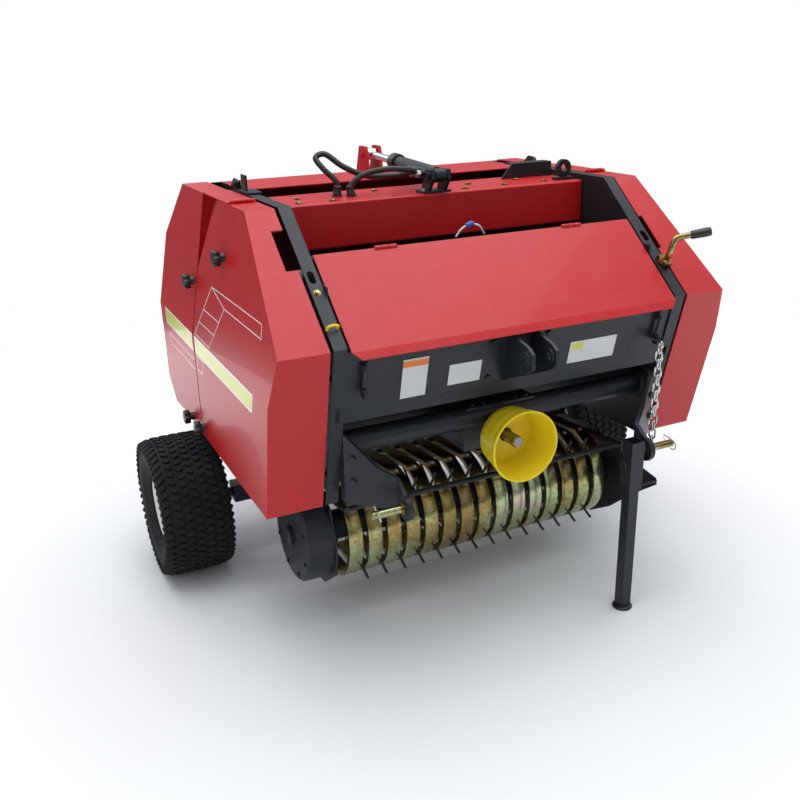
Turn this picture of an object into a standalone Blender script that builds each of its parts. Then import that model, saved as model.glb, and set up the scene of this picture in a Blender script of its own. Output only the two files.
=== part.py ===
"""Mini round baler: a towed hay baler that parks on two wheels and a front stand.

Metres, +Z up, floor at z = 0. X runs across, the tractor is towards -Y and the
tailgate towards +Y. While the parts are modelled, y = 0 is the front bend of the
side frames; place_origin() then moves everything along Y so that the origin lies
under the middle of the machine.
"""
import math

import bmesh
import bpy
from mathutils import Matrix, Vector

# ---------------------------------------------------------------- driving sizes
CHAMBER_WIDTH = 1.000        # between the side frames
SHEET = 0.004                # side frame plate
FLANGE = 0.035               # side frame's outward fold, plate included
COVER_SHEET = 0.003          # red covers
COVER_BULGE = 0.163          # how far a cover stands out of the flange
COVER_GAP = 0.0085           # cover edge to flange
SEAM_GAP = 0.010             # between a front door and the tailgate's door
FIT = 0.0003                 # between pieces that rest on each other
RUNNING = 0.0008             # radial play on pins and shafts
CLEAR = 0.008                # between pieces that move past each other

TOP_Z = 1.227                # top of the side frames
NOSE_Y = 0.350               # where the top edge turns down to the front
BEND_Z = 0.935               # front bend at y = 0
SKIRT_Y, SKIRT_Z = 0.117, 0.477   # lower end of the front edge
SEAM_Y = 0.765               # frame ends here and the tailgate begins
REAR_Y = 1.230               # back of the tailgate
FOLD_Z = 0.807               # covers lean inwards above this height
COVER_LEAN = 0.180           # how much they lean, per metre of height

HINGE_Y, HINGE_Z = 0.765, 1.243   # tailgate hinge, over the seam
HINGE_PIN_R, HINGE_LUG_X, HINGE_LUG = 0.009, 0.510, 0.006
LID_Y, LID_Z = 0.222, 1.121       # twine box lid hinge
LID_LIP = 0.022

CHAMBER_Y, CHAMBER_Z = 0.800, 0.800
ROLLER_RING = 0.335          # radius of the circle that the rollers lie on
ROLLER_R = 0.048
ROLLER_SHAFT_R = 0.014
FRAME_ROLLER_ANGLES = (145, 175, 205, 250)
GATE_ROLLER_ANGLES = (280, 310, 340, 10, 40, 70)

AXLE_Y = 0.824
TYRE_R = 0.2286
TYRE_WIDTH = 0.216
TYRE_OUTER_X = 0.879
RIM_R = 0.113
AXLE_BEAM = 0.060
AXLE_R = 0.016

PTO_Z = 0.583
PTO_END_Y = 0.020
PTO_R = 0.0175
GUARD_MOUTH_Y = -0.020
GUARD_MOUTH_R = 0.102
GUARD_BACK_Y = 0.088
GUARD_BACK_R = 0.084
GUARD_WALL = 0.004

PICKUP_Y, PICKUP_Z = 0.340, 0.288
STRIP_R = 0.150
STRIP_COUNT = 15
STRIP_PITCH = 0.0605
STRIP_WIDTH = 0.042
STRIP_THICK = 0.004
TINE_R = 0.190
TINE_THICK = 0.006
LIFT_Y, LIFT_Z = 0.535, 0.400     # pickup pivot

PIN_X, PIN_Y, PIN_Z = 0.383, -0.058, 0.512   # lower hitch plates
PIN_R = 0.011
PIN_REACH = 0.098
HITCH_PLATE = 0.012
HITCH_BOSS = 0.0075           # half the boss's thickness round the pin
EAR_X, EAR_Y, EAR_Z = 0.036, -0.068, 0.852   # top link ears
EAR_THICK = 0.010

STAND_X, STAND_Y = 0.338, -0.058
STAND_TUBE = 0.034
SLEEVE_WALL = 0.004
SLEEVE_LOW, SLEEVE_HIGH = 0.400, 0.548
STAND_TOP = 0.520

BEAM_Y, BEAM_DEPTH = 0.452, 0.215
BEAM_LOW, BEAM_HIGH = 1.084, 1.2105

CYL_X = -0.012
CYL_Y, CYL_Z = 0.450, 1.262       # barrel pivot
LUG_Y, LUG_Z = 0.930, 1.285       # rod eye on the tailgate
BARREL_R = 0.021
BARREL_LENGTH = 0.290
ROD_R = 0.012
CYL_PIN_R = 0.010

HALF = CHAMBER_WIDTH / 2
FLANGE_X = HALF + FLANGE
COVER_IN = FLANGE_X + COVER_GAP
SKIRT_LEAN = SKIRT_Y / (BEND_Z - SKIRT_Z)
DOOR_AXIS_X = COVER_IN + 0.008    # cover hinges, just inside the cover's fold
DOOR_AXIS_IN = 0.0085
DOOR_PIN_R = 0.0035
DOOR_EYE_R = 0.0068
FRONT_HINGES = (0.560, 0.845)
GATE_HINGES = (0.580, 0.740)
COVER_OUT = FLANGE_X + COVER_BULGE
SIDES = (("left", -1), ("right", 1))


# ---------------------------------------------------------------- helpers
def clear_scene():
    """Remove every object that the file opened with."""
    for thing in list(bpy.data.objects):
        bpy.data.objects.remove(thing)


def paint(name, colour, roughness, metallic=0.0):
    """A Principled material with one colour."""
    material = bpy.data.materials.new(name)
    material.use_nodes = True
    shader = material.node_tree.nodes["Principled BSDF"]
    shader.inputs["Base Color"].default_value = (*colour, 1.0)
    shader.inputs["Roughness"].default_value = roughness
    shader.inputs["Metallic"].default_value = metallic
    return material


def from_bmesh(bm, name="piece"):
    """Turn a bmesh into an object with outward faces."""
    bmesh.ops.recalc_face_normals(bm, faces=bm.faces)
    mesh = bpy.data.meshes.new(name)
    bm.to_mesh(mesh)
    bm.free()
    thing = bpy.data.objects.new(name, mesh)
    bpy.context.scene.collection.objects.link(thing)
    return thing


def box(low, high):
    """A box between two corners."""
    bm = bmesh.new()
    size = [b - a for a, b in zip(low, high)]
    centre = [(a + b) / 2 for a, b in zip(low, high)]
    place = Matrix.Translation(centre) @ Matrix.Diagonal((*size, 1.0))
    bmesh.ops.create_cube(bm, size=1.0, matrix=place)
    return from_bmesh(bm)


def prism(outline, low, high, axis="x"):
    """Extrude a closed outline. Axis x takes (y, z) points, y takes (x, z), z takes (x, y)."""
    def point(pair, level):
        if axis == "x":
            return (level, pair[0], pair[1])
        if axis == "y":
            return (pair[0], level, pair[1])
        return (pair[0], pair[1], level)
    bm = bmesh.new()
    ends = [[bm.verts.new(point(pair, level)) for pair in outline] for level in (low, high)]
    bm.faces.new(ends[0])
    bm.faces.new(ends[1])
    for i in range(len(outline)):
        j = (i + 1) % len(outline)
        bm.faces.new((ends[0][i], ends[0][j], ends[1][j], ends[1][i]))
    return from_bmesh(bm)


AXIS_TURN = {
    "x": Matrix.Rotation(math.pi / 2, 4, "Y"),
    "y": Matrix.Rotation(-math.pi / 2, 4, "X"),
    "z": Matrix.Identity(4),
}


def turned(profile, centre, axis="x", segments=32):
    """Turn a closed profile of (radius, distance along the axis) about an axis through centre."""
    bm = bmesh.new()
    place = Matrix.Translation(centre) @ AXIS_TURN[axis]
    rings = []
    for radius, along in profile:
        if radius < 1e-6:
            rings.append([bm.verts.new(place @ Vector((0, 0, along)))])
            continue
        ring = []
        for k in range(segments):
            angle = math.tau * k / segments
            spot = Vector((radius * math.cos(angle), radius * math.sin(angle), along))
            ring.append(bm.verts.new(place @ spot))
        rings.append(ring)
    closed = profile[0][0] > 1e-6
    count = len(rings) if closed else len(rings) - 1
    for i in range(count):
        a, b = rings[i], rings[(i + 1) % len(rings)]
        for k in range(segments):
            m = (k + 1) % segments
            if len(a) == 1:
                bm.faces.new((a[0], b[m], b[k]))
            elif len(b) == 1:
                bm.faces.new((a[k], a[m], b[0]))
            else:
                bm.faces.new((a[k], a[m], b[m], b[k]))
    return from_bmesh(bm)


def rod(centre, radius, low, high, axis="x", segments=16):
    """A solid round bar from low to high along an axis; centre gives the other two places."""
    return turned([(0, low), (radius, low), (radius, high), (0, high)], centre, axis, segments)


def rod_between(start, end, radius, segments=12):
    """A solid round bar between two points."""
    start, end = Vector(start), Vector(end)
    along = end - start
    bm = bmesh.new()
    turn = Vector((0, 0, 1)).rotation_difference(along).to_matrix().to_4x4()
    place = Matrix.Translation((start + end) / 2) @ turn
    bmesh.ops.create_cone(bm, cap_ends=True, segments=segments, radius1=radius,
                          radius2=radius, depth=along.length, matrix=place)
    return from_bmesh(bm)


def bent_plate(path, thickness):
    """A plate that follows a path in plan. Each stop is (x, y, low z, high z)."""
    bm = bmesh.new()
    stops = []
    for i, (x, y, low, high) in enumerate(path):
        before = Vector(path[max(i - 1, 0)][:2])
        after = Vector(path[min(i + 1, len(path) - 1)][:2])
        along = (after - before).normalized()
        side = Vector((-along.y, along.x)) * thickness / 2
        stops.append([bm.verts.new((x + s * side.x, y + s * side.y, z))
                      for s, z in ((1, low), (-1, low), (-1, high), (1, high))])
    for a, b in zip(stops, stops[1:]):
        for k in range(4):
            m = (k + 1) % 4
            bm.faces.new((a[k], a[m], b[m], b[k]))
    bm.faces.new(stops[0])
    bm.faces.new(stops[-1])
    return from_bmesh(bm)


def folded_sheet(points, faces, thickness):
    """Sheet metal: the outer skin's corners and faces, given thickness towards the inside."""
    bm = bmesh.new()
    corners = [bm.verts.new(spot) for spot in points]
    for face in faces:
        bm.faces.new([corners[i] for i in face])
    mesh = bpy.data.meshes.new("sheet")
    bm.to_mesh(mesh)
    bm.free()
    thing = bpy.data.objects.new("sheet", mesh)
    bpy.context.scene.collection.objects.link(thing)
    wall = thing.modifiers.new("wall", "SOLIDIFY")
    wall.thickness = thickness
    wall.offset = -1.0
    wall.use_even_offset = True
    return bake(thing)


def bake(thing):
    """Replace an object's mesh by its evaluated mesh and drop the modifiers."""
    graph = bpy.context.evaluated_depsgraph_get()
    mesh = bpy.data.meshes.new_from_object(thing.evaluated_get(graph))
    thing.modifiers.clear()
    thing.data = mesh
    return thing


def combine(base, others, operation):
    """Join pieces to a base, or cut them from it, with exact Booleans."""
    for other in others:
        step = base.modifiers.new(operation.lower(), "BOOLEAN")
        step.operation = operation
        step.solver = "EXACT"
        step.object = other
        bpy.context.view_layer.update()
        bake(base)
        bpy.data.objects.remove(other)
    return base


def fuse(pieces, cuts=()):
    """One solid out of several pieces, less its cuts."""
    base = combine(pieces[0], pieces[1:], "UNION")
    return combine(base, cuts, "DIFFERENCE")


def mirrored(thing, side):
    """The piece itself on the right (+1), or its mirror image on the left (-1)."""
    if side > 0:
        return thing
    bm = bmesh.new()
    bm.from_mesh(thing.data)
    bmesh.ops.scale(bm, vec=(-1, 1, 1), verts=bm.verts)
    bmesh.ops.reverse_faces(bm, faces=bm.faces)
    bm.to_mesh(thing.data)
    bm.free()
    return thing


PIVOTS = {}


def pivot(name, place, parent=None):
    """An empty on a joint's axis, which carries the pieces that move with it."""
    marker = bpy.data.objects.new("joint_" + name, None)
    bpy.context.scene.collection.objects.link(marker)
    marker.empty_display_size = 0.05
    marker.location = Vector(place)
    if parent:
        marker.parent = PIVOTS[parent]
        marker.location = Vector(place) - world_place(parent)
    PIVOTS[name] = marker
    return marker


def world_place(name):
    """Where a pivot stands in the machine."""
    marker = PIVOTS[name]
    place = Vector(marker.location)
    while marker.parent:
        marker = marker.parent
        place += marker.location
    return place


def finish(thing, name, material, body, smooth=True):
    """Name a piece, give it its material and hang it on its body's pivot."""
    thing.name = name
    thing.data.name = name
    thing.data.materials.clear()
    thing.data.materials.append(material)
    place = world_place(body)
    thing.data.transform(Matrix.Translation(-place))
    thing.parent = PIVOTS[body]
    if smooth:
        thing.data.shade_smooth()
        thing.data.set_sharp_from_angle(angle=math.radians(35))
    return thing


# ---------------------------------------------------------------- shared shapes
def skirt_y(z):
    """Depth of the lower front edge at a height."""
    return (BEND_Z - z) * SKIRT_LEAN


def cover_x(z):
    """Half width of the covers at a height."""
    return COVER_OUT - max(0.0, z - FOLD_Z) * COVER_LEAN


def ring_spot(angle):
    """Centre of the bale roller at an angle on the chamber's circle."""
    turn = math.radians(angle)
    return CHAMBER_Y + ROLLER_RING * math.cos(turn), CHAMBER_Z + ROLLER_RING * math.sin(turn)


# ---------------------------------------------------------------- frame
def side_frame(side):
    """Side plate with its outward front and top folds, axle bracket and tailgate pivot pin."""
    outline = [
        (NOSE_Y, TOP_Z), (0, BEND_Z), (SKIRT_Y, SKIRT_Z), (LIFT_Y - 0.045, SKIRT_Z),
        (LIFT_Y - 0.035, LIFT_Z - 0.035), (LIFT_Y + 0.035, LIFT_Z - 0.035),
        (LIFT_Y + 0.060, SKIRT_Z - 0.060), (AXLE_Y - 0.120, SKIRT_Z - 0.070),
        (AXLE_Y - 0.060, TYRE_R - 0.045), (AXLE_Y + 0.050, TYRE_R - 0.045),
        (AXLE_Y + 0.050, TYRE_R + 0.050), (SEAM_Y, SKIRT_Z - 0.090), (SEAM_Y, TOP_Z),
    ]
    plate = prism(outline, HALF, HALF + SHEET)
    pieces = [plate]
    fold = [(SEAM_Y, TOP_Z), (NOSE_Y, TOP_Z), (0, BEND_Z), (SKIRT_Y, SKIRT_Z)]
    inner = [(SEAM_Y, TOP_Z - SHEET), (NOSE_Y + SHEET * 0.35, TOP_Z - SHEET),
             (SHEET * 1.15, BEND_Z - SHEET * 0.3), (SKIRT_Y + SHEET, SKIRT_Z)]
    pieces.append(prism(fold + inner[::-1], HALF + SHEET / 2, FLANGE_X))
    pieces.append(prism([(HINGE_Y - 0.045, TOP_Z - 0.001), (HINGE_Y - 0.001, TOP_Z - 0.001),
                         (HINGE_Y + 0.012, HINGE_Z - 0.006), (HINGE_Y + 0.012, HINGE_Z + 0.008),
                         (HINGE_Y - 0.014, HINGE_Z + 0.012)], HINGE_LUG_X, HINGE_LUG_X + HINGE_LUG))
    pieces.append(rod((0, HINGE_Y, HINGE_Z), HINGE_PIN_R, HINGE_LUG_X + 0.001, HINGE_LUG_X + 0.018))
    pieces.append(rod((0, LIFT_Y, LIFT_Z), 0.012, HALF - 0.020, HALF + SHEET / 2))
    for z in FRONT_HINGES:
        pieces.extend(hinge_bracket(skirt_y(z) + DOOR_AXIS_IN, z, 1, SKIRT_LEAN))
    window = TYRE_R + AXLE_BEAM / 2 + FIT
    cut = box((HALF - 0.1, AXLE_Y - AXLE_BEAM / 2 - FIT, TYRE_R - AXLE_BEAM / 2 - FIT),
              (HALF + 0.1, AXLE_Y + AXLE_BEAM / 2 + FIT, window))
    oval = prism(slot_outline(0.0, 0.0, 0.009, 0.022), -0.1, 0.1, "z")
    slope = math.atan2(TOP_Z - BEND_Z, NOSE_Y)
    oval.data.transform(Matrix.Translation((HALF + FLANGE * 0.55, 0.17, 0.17 * math.tan(slope) + BEND_Z))
                        @ Matrix.Rotation(slope, 4, "X"))
    slot = box((HALF + 0.010, 0.0, 0.730), (HALF + 0.022, 0.070, 0.772))
    return fuse(pieces, [cut, oval, slot])


def hinge_bracket(y, z, back, lean=0.0):
    """Pin beside a fold, held from behind: back is +1 when the machine's rear is behind it."""
    centre = Vector((DOOR_AXIS_X, y, z))
    along = Vector((0, -lean, 1)).normalized()
    pin = rod_between(centre - along * 0.004, centre + along * 0.040, DOOR_PIN_R, 12)
    reach = sorted((y - back * 0.0025, y + back * 0.036))
    arm = box((DOOR_AXIS_X - 0.003, reach[0], z - 0.005), (DOOR_AXIS_X + 0.003, reach[1], z + 0.005))
    reach = sorted((y + back * 0.026, y + back * 0.036))
    foot = box((HALF + SHEET / 2, reach[0], z - 0.005), (DOOR_AXIS_X + 0.003, reach[1], z + 0.005))
    return [pin, arm, foot]


def hinge_eye(y, z, lean=0.0):
    """The door's eye on such a pin, as a ring and its bore."""
    centre = Vector((DOOR_AXIS_X, y, z))
    along = Vector((0, -lean, 1)).normalized()
    ring = rod_between(centre + along * 0.012, centre + along * 0.034, DOOR_EYE_R, 12)
    bore = rod_between(centre - along * 0.02, centre + along * 0.06, DOOR_PIN_R + RUNNING, 12)
    return ring, bore


def slot_outline(x, y, radius, length, steps=6):
    """A long round-ended hole, its length along the second direction."""
    points = []
    for centre, start in ((length / 2, 0.0), (-length / 2, math.pi)):
        for k in range(steps + 1):
            angle = start + math.pi * k / steps
            points.append((x + radius * math.cos(angle), y + centre + radius * math.sin(angle)))
    return points


def front_panel():
    """Dark panel across the front, below the lid, with its bottom fold."""
    low, high, back = 0.722, 0.922, 0.005
    edge = [(skirt_y(high) + back, high), (skirt_y(low) + back, low),
            (skirt_y(low) + 0.060, low), (skirt_y(low) + 0.060, low + 0.005),
            (skirt_y(low) + back + 0.005, low + 0.005), (skirt_y(high) + back + 0.005, high)]
    panel = prism(edge, -HALF + FIT, HALF - FIT)
    ears = []
    for side in (-1, 1):
        x = side * EAR_X
        ear = prism([(skirt_y(0.90) + 0.008, 0.905), (EAR_Y - 0.005, EAR_Z + 0.034),
                     (EAR_Y - 0.028, EAR_Z + 0.020), (EAR_Y - 0.030, EAR_Z - 0.020),
                     (EAR_Y, EAR_Z - 0.040), (skirt_y(0.76) + 0.008, 0.760)],
                    x - EAR_THICK / 2, x + EAR_THICK / 2)
        ears.append(ear)
    holes = rod((0, EAR_Y, EAR_Z), 0.0105, -0.2, 0.2)
    return fuse([panel] + ears, [holes])


def cross_tube():
    """Round tube between the side frames, with the gearbox hanger in the middle."""
    tube = rod((0, 0.127, 0.640), 0.030, -HALF + FIT, HALF - FIT)
    hanger = box((-0.110, 0.110, 0.640), (0.110, 0.215, 0.672))
    return fuse([tube, hanger])


def gearbox():
    """Gearbox block below the hanger, with its output housing to the left."""
    case = box((-0.085, 0.172, PTO_Z - 0.070), (0.085, 0.330, 0.6397))
    nose = rod((0, 0, PTO_Z), 0.024, GUARD_BACK_Y + FIT, 0.175, "y")
    side = rod((0, 0.250, PTO_Z), 0.034, -HALF + FIT, 0.0)
    return fuse([case, nose, side], [rod((0, 0, PTO_Z), PTO_R + RUNNING, 0.050, 0.200, "y")])


def pto_guard():
    """Open cone round the shaft."""
    hole = PTO_R + 0.002
    profile = [(GUARD_MOUTH_R, GUARD_MOUTH_Y), (GUARD_BACK_R, GUARD_BACK_Y),
               (hole, GUARD_BACK_Y), (hole, GUARD_BACK_Y - GUARD_WALL),
               (GUARD_BACK_R - GUARD_WALL, GUARD_BACK_Y - GUARD_WALL),
               (GUARD_MOUTH_R - GUARD_WALL, GUARD_MOUTH_Y)]
    return turned(profile, (0, 0, PTO_Z), "y", 28)


def pto_shaft():
    """Splined stub that the tractor's shaft slides onto."""
    return rod((0, 0, PTO_Z), PTO_R, PTO_END_Y, 0.199, "y", 24)


def top_beam():
    """Box beam across the top, in front of the tailgate."""
    return box((-HALF + FIT, BEAM_Y, BEAM_LOW), (HALF - FIT, BEAM_Y + BEAM_DEPTH, BEAM_HIGH))


def twine_box():
    """Open tray behind the front panel where the twine lies."""
    wall = 0.003
    y0, y1, z0, z1 = 0.118, 0.400, 0.790, 1.060
    tray = box((-HALF + FIT, y0, z0), (HALF - FIT, y1, z1))
    hollow = box((-HALF + wall, y0 - 0.1, z0 + wall), (HALF - wall, y1 - wall, z1 + 0.1))
    return fuse([tray], [hollow])


def lid_rail():
    """Angle rail between the side frames that carries the lid's hinge."""
    y, z = LID_Y + 0.012, LID_Z - 0.012
    rail = prism([(y, z), (y + 0.032, z), (y + 0.032, z - 0.004), (y + 0.004, z - 0.004),
                  (y + 0.004, z - 0.034), (y, z - 0.034)], -HALF + FIT, HALF - FIT)
    knuckles = []
    for x in (-0.292, 0.292):
        knuckles.append(box((x - 0.016, LID_Y + 0.0053, z - 0.003), (x + 0.016, y + 0.004, z + 0.009)))
    return fuse([rail] + knuckles)


def hitch_plate():
    """Bent plate that carries a lower hitch pin."""
    path = [(HALF - FIT - HITCH_PLATE / 2, 0.0940, 0.500, 0.700),
            (HALF - FIT - HITCH_PLATE / 2, 0.0700, 0.495, 0.690),
            (PIN_X + 0.045, 0.020, 0.490, 0.605), (PIN_X, -0.012, 0.488, 0.575),
            (PIN_X, PIN_Y, 0.478, 0.545)]
    plate = bent_plate(path, HITCH_PLATE)
    boss = rod((0, PIN_Y, PIN_Z), 0.034, PIN_X - HITCH_BOSS, PIN_X + HITCH_BOSS)
    hole = rod((0, PIN_Y, PIN_Z), PIN_R + FIT, PIN_X - 0.05, PIN_X + 0.05)
    return fuse([plate, boss], [hole])


def lower_pin():
    """Hitch pin with its collar outside and nut inside the plate."""
    inner = PIN_X - HITCH_BOSS - FIT
    outer = PIN_X + HITCH_BOSS + FIT
    profile = [(0, inner - 0.012), (0.009, inner - 0.012), (0.009, inner - 0.009), (0.016, inner - 0.009),
               (0.016, inner), (PIN_R, inner), (PIN_R, outer), (0.016, outer), (0.016, outer + 0.006),
               (PIN_R, outer + 0.006), (PIN_R, PIN_X + PIN_REACH - 0.002),
               (PIN_R - 0.002, PIN_X + PIN_REACH), (0, PIN_X + PIN_REACH)]
    return turned(profile, (0, PIN_Y, PIN_Z), "x", 20)


def stand_sleeve():
    """Square socket on the right hitch plate."""
    half = STAND_TUBE / 2 + FIT * 3
    outer = half + SLEEVE_WALL
    body = box((STAND_X - outer, STAND_Y - outer, SLEEVE_LOW), (STAND_X + outer, STAND_Y + outer, SLEEVE_HIGH))
    hollow = box((STAND_X - half, STAND_Y - half, SLEEVE_LOW - 0.1),
                 (STAND_X + half, STAND_Y + half, SLEEVE_HIGH + 0.1))
    tab = box((STAND_X + outer - 0.001, STAND_Y + 0.010, SLEEVE_HIGH - 0.018),
              (PIN_X - HITCH_BOSS - FIT, STAND_Y + 0.022, SLEEVE_HIGH - 0.003))
    return fuse([body, tab], [hollow])


def stand_leg():
    """Parking leg with its round foot."""
    half = STAND_TUBE / 2
    leg = box((STAND_X - half, STAND_Y - half, 0.006), (STAND_X + half, STAND_Y + half, STAND_TOP))
    foot = rod((STAND_X, STAND_Y, 0), 0.030, 0.0, 0.008, "z")
    return fuse([leg, foot])


def axle_beam():
    """Square axle across the machine with a stub axle at each end."""
    reach = FLANGE_X + 0.075
    half = AXLE_BEAM / 2
    beam = box((-reach, AXLE_Y - half, TYRE_R - half), (reach, AXLE_Y + half, TYRE_R + half))
    stub = rod((0, AXLE_Y, TYRE_R), AXLE_R, -TYRE_OUTER_X + 0.075, TYRE_OUTER_X - 0.075)
    return fuse([beam, stub])


def lifting_eye():
    """Ring on the beam's right end for lifting the machine."""
    y, z = 0.500, BEAM_HIGH + 0.036
    foot = box((0.425, y - 0.014, BEAM_HIGH + FIT), (0.490, y + 0.014, BEAM_HIGH + 0.008))
    neck = box((0.446, y - 0.006, BEAM_HIGH + 0.006), (0.470, y + 0.006, BEAM_HIGH + 0.020))
    ring = rod((0.458, 0, z), 0.026, y - 0.007, y + 0.007, "y", 20)
    return fuse([foot, neck, ring], [rod((0.458, 0, z), 0.012, y - 0.05, y + 0.05, "y", 20)])


def left_lug():
    """Upright lug on the left frame's top fold."""
    foot = box((-FLANGE_X + 0.002, 0.620, TOP_Z + FIT), (-HALF + 0.010, 0.712, TOP_Z + 0.006))
    post = box((-FLANGE_X + 0.010, 0.660, TOP_Z + 0.004), (-FLANGE_X + 0.016, 0.705, TOP_Z + 0.050))
    return fuse([foot, post])


def top_bracket():
    """Folded dark bracket on the beam's right half."""
    y = BEAM_Y + BEAM_DEPTH - 0.055
    low = BEAM_HIGH + FIT
    face = prism([(0.300, low), (0.340, low + 0.045), (0.490, low + 0.045), (0.492, low)], y, y + 0.004, "y")
    shelf = box((0.340, y, low + 0.041), (0.490, y + 0.045, low + 0.045))
    return fuse([face, shelf])


def cylinder_bracket():
    """Foot and two lugs that hold the front of the cylinder."""
    low = BEAM_HIGH + FIT
    foot = box((CYL_X - 0.045, CYL_Y + 0.006, low), (CYL_X + 0.045, CYL_Y + 0.060, low + 0.006))
    pieces = [foot]
    for side in (-1, 1):
        x = CYL_X + side * 0.026
        pieces.append(prism([(CYL_Y + 0.010, low + 0.003), (CYL_Y + 0.055, low + 0.003),
                             (CYL_Y + 0.022, CYL_Z + 0.016), (CYL_Y - 0.016, CYL_Z + 0.016),
                             (CYL_Y - 0.020, CYL_Z - 0.010)], x - 0.005, x + 0.005))
    hole = rod((0, CYL_Y, CYL_Z), CYL_PIN_R + RUNNING, CYL_X - 0.1, CYL_X + 0.1)
    return fuse(pieces, [hole])


def crank_handle():
    """Zinc yoke and cranked arm with a black grip on the right frame."""
    foot = Vector((FLANGE_X - 0.012, 0.090, BEND_Z + 0.090 * 0.834 - 0.0002))
    up = Vector((0, -0.64, 0.77))
    knee = foot + Vector((0.010, -0.030, 0.075))
    grip = knee + Vector((0.045, -0.035, 0.012))
    yoke = rod_between(foot + up * 0.001, foot + up * 0.022, 0.016)
    arm = rod_between(foot + up * 0.010, knee, 0.007)
    lever = rod_between(knee - Vector((0.006, -0.005, 0.002)), grip, 0.007)
    knob = rod_between(grip - Vector((0.012, -0.009, 0.003)), grip + Vector((0.046, -0.034, 0.012)), 0.012)
    return fuse([yoke, arm, lever, knob])


def twine_pulley():
    """White disc behind the left cover's notch, on its stub shaft."""
    disc = rod((0, 0.285, 1.060), 0.074, -0.598, -0.584, "x", 24)
    shaft = rod((0, 0.285, 1.060), 0.012, -0.590, -HALF - SHEET - FIT)
    return fuse([disc, shaft])


def chain_bar():
    """Envelope of the parking chain between its hook and the pickup's horn."""
    top = Vector((0.447, -0.012, 0.812))
    hook = rod_between((0.447, skirt_y(0.818) + 0.0046, 0.812), (0.447, -0.022, 0.812), 0.006, 12)
    strand = rod_between(top, (0.447, -0.008, 0.436), 0.008, 8)
    return fuse([hook, strand])


def hose(points, radius):
    """A hose along a smooth curve through hand-chosen points."""
    spots = smooth_path([Vector(spot) for spot in points], 4)
    curve = bpy.data.curves.new("hose", "CURVE")
    curve.dimensions = "3D"
    curve.bevel_depth = radius
    curve.bevel_resolution = 2
    curve.use_fill_caps = True
    line = curve.splines.new("POLY")
    line.points.add(len(spots) - 1)
    for point, spot in zip(line.points, spots):
        point.co = (*spot, 1.0)
    thing = bpy.data.objects.new("hose", curve)
    bpy.context.scene.collection.objects.link(thing)
    graph = bpy.context.evaluated_depsgraph_get()
    mesh = bpy.data.meshes.new_from_object(thing.evaluated_get(graph))
    bpy.data.objects.remove(thing)
    solid = bpy.data.objects.new("hose", mesh)
    bpy.context.scene.collection.objects.link(solid)
    return solid


def smooth_path(spots, steps):
    """Points of a Catmull-Rom curve through the given points."""
    ends = [spots[0] * 2 - spots[1]] + spots + [spots[-1] * 2 - spots[-2]]
    path = []
    for a, b, c, d in zip(ends, ends[1:], ends[2:], ends[3:]):
        for k in range(steps):
            t = k / steps
            path.append(0.5 * (2 * b + (c - a) * t + (2 * a - 5 * b + 4 * c - d) * t * t
                               + (3 * b - a - 3 * c + d) * t ** 3))
    path.append(spots[-1])
    return path


HOSE_R = 0.0085
HOSES = {
    "hose_left": [(-0.285, 0.560, BEAM_HIGH + 0.0008), (-0.285, 0.560, 1.250), (-0.318, 0.580, 1.290),
                  (-0.330, 0.600, 1.318), (-0.300, 0.600, 1.326), (-0.255, 0.575, 1.290),
                  (-0.190, 0.560, 1.262), (-0.110, 0.548, 1.258), (-0.062, 0.545, 1.262)],
    "hose_right": [(-0.250, 0.540, BEAM_HIGH + 0.0012), (-0.250, 0.540, 1.240), (-0.215, 0.530, 1.268),
                   (-0.160, 0.510, 1.282), (-0.100, 0.500, 1.280), (-0.062, 0.498, 1.272)],
}


# ---------------------------------------------------------------- covers
def front_door():
    """Right front cover: bent sheet with its notch, hinge eyes and closing knobs' seats."""
    rear = SEAM_Y - SEAM_GAP / 2
    top, bend, low = TOP_Z - 0.003, BEND_Z - 0.003, SKIRT_Z - 0.002
    xt, xb, xf = cover_x(top), cover_x(bend), COVER_OUT
    corner = rear - 0.005
    points = [
        (COVER_IN, NOSE_Y + 0.003, top), (xt, NOSE_Y + 0.003, top), (xb, 0, bend), (COVER_IN, 0, bend),
        (xf, skirt_y(FOLD_Z), FOLD_Z), (COVER_IN, skirt_y(FOLD_Z), FOLD_Z),
        (xf, skirt_y(low), low), (COVER_IN, skirt_y(low), low),
        (xf, rear, FOLD_Z), (xf, rear, low),
        (cover_x(1.010), rear, 1.010), (xt, 0.585, top), (xt - 0.034, corner, top - 0.006),
        (COVER_IN, 0.495, top), (xt, 0.495, top),
    ]
    faces = [(0, 3, 2, 1), (3, 5, 4, 2), (5, 7, 6, 4), (4, 6, 9, 8), (2, 4, 8, 10, 11, 14, 1),
             (10, 12, 11), (13, 0, 1, 14)]
    sheet = folded_sheet(points, faces, COVER_SHEET)
    rings, bores = [], []
    for z in FRONT_HINGES:
        ring, bore = hinge_eye(skirt_y(z) + DOOR_AXIS_IN, z, SKIRT_LEAN)
        rings.append(ring)
        bores.append(bore)
    return fuse([sheet] + rings, bores)


def pulley_notch():
    """Cutter for the left cover's notch in front of the twine pulley."""
    slope = (TOP_Z - BEND_Z) / NOSE_Y
    y0, y1 = 0.195, 0.297
    return prism([(y0, BEND_Z + y0 * slope - 0.03), (y0, BEND_Z + y0 * slope + 0.05),
                  (y1, BEND_Z + y1 * slope + 0.05), (y1, BEND_Z + y1 * slope - 0.03)],
                 COVER_IN - 0.02, 0.575)


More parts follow.
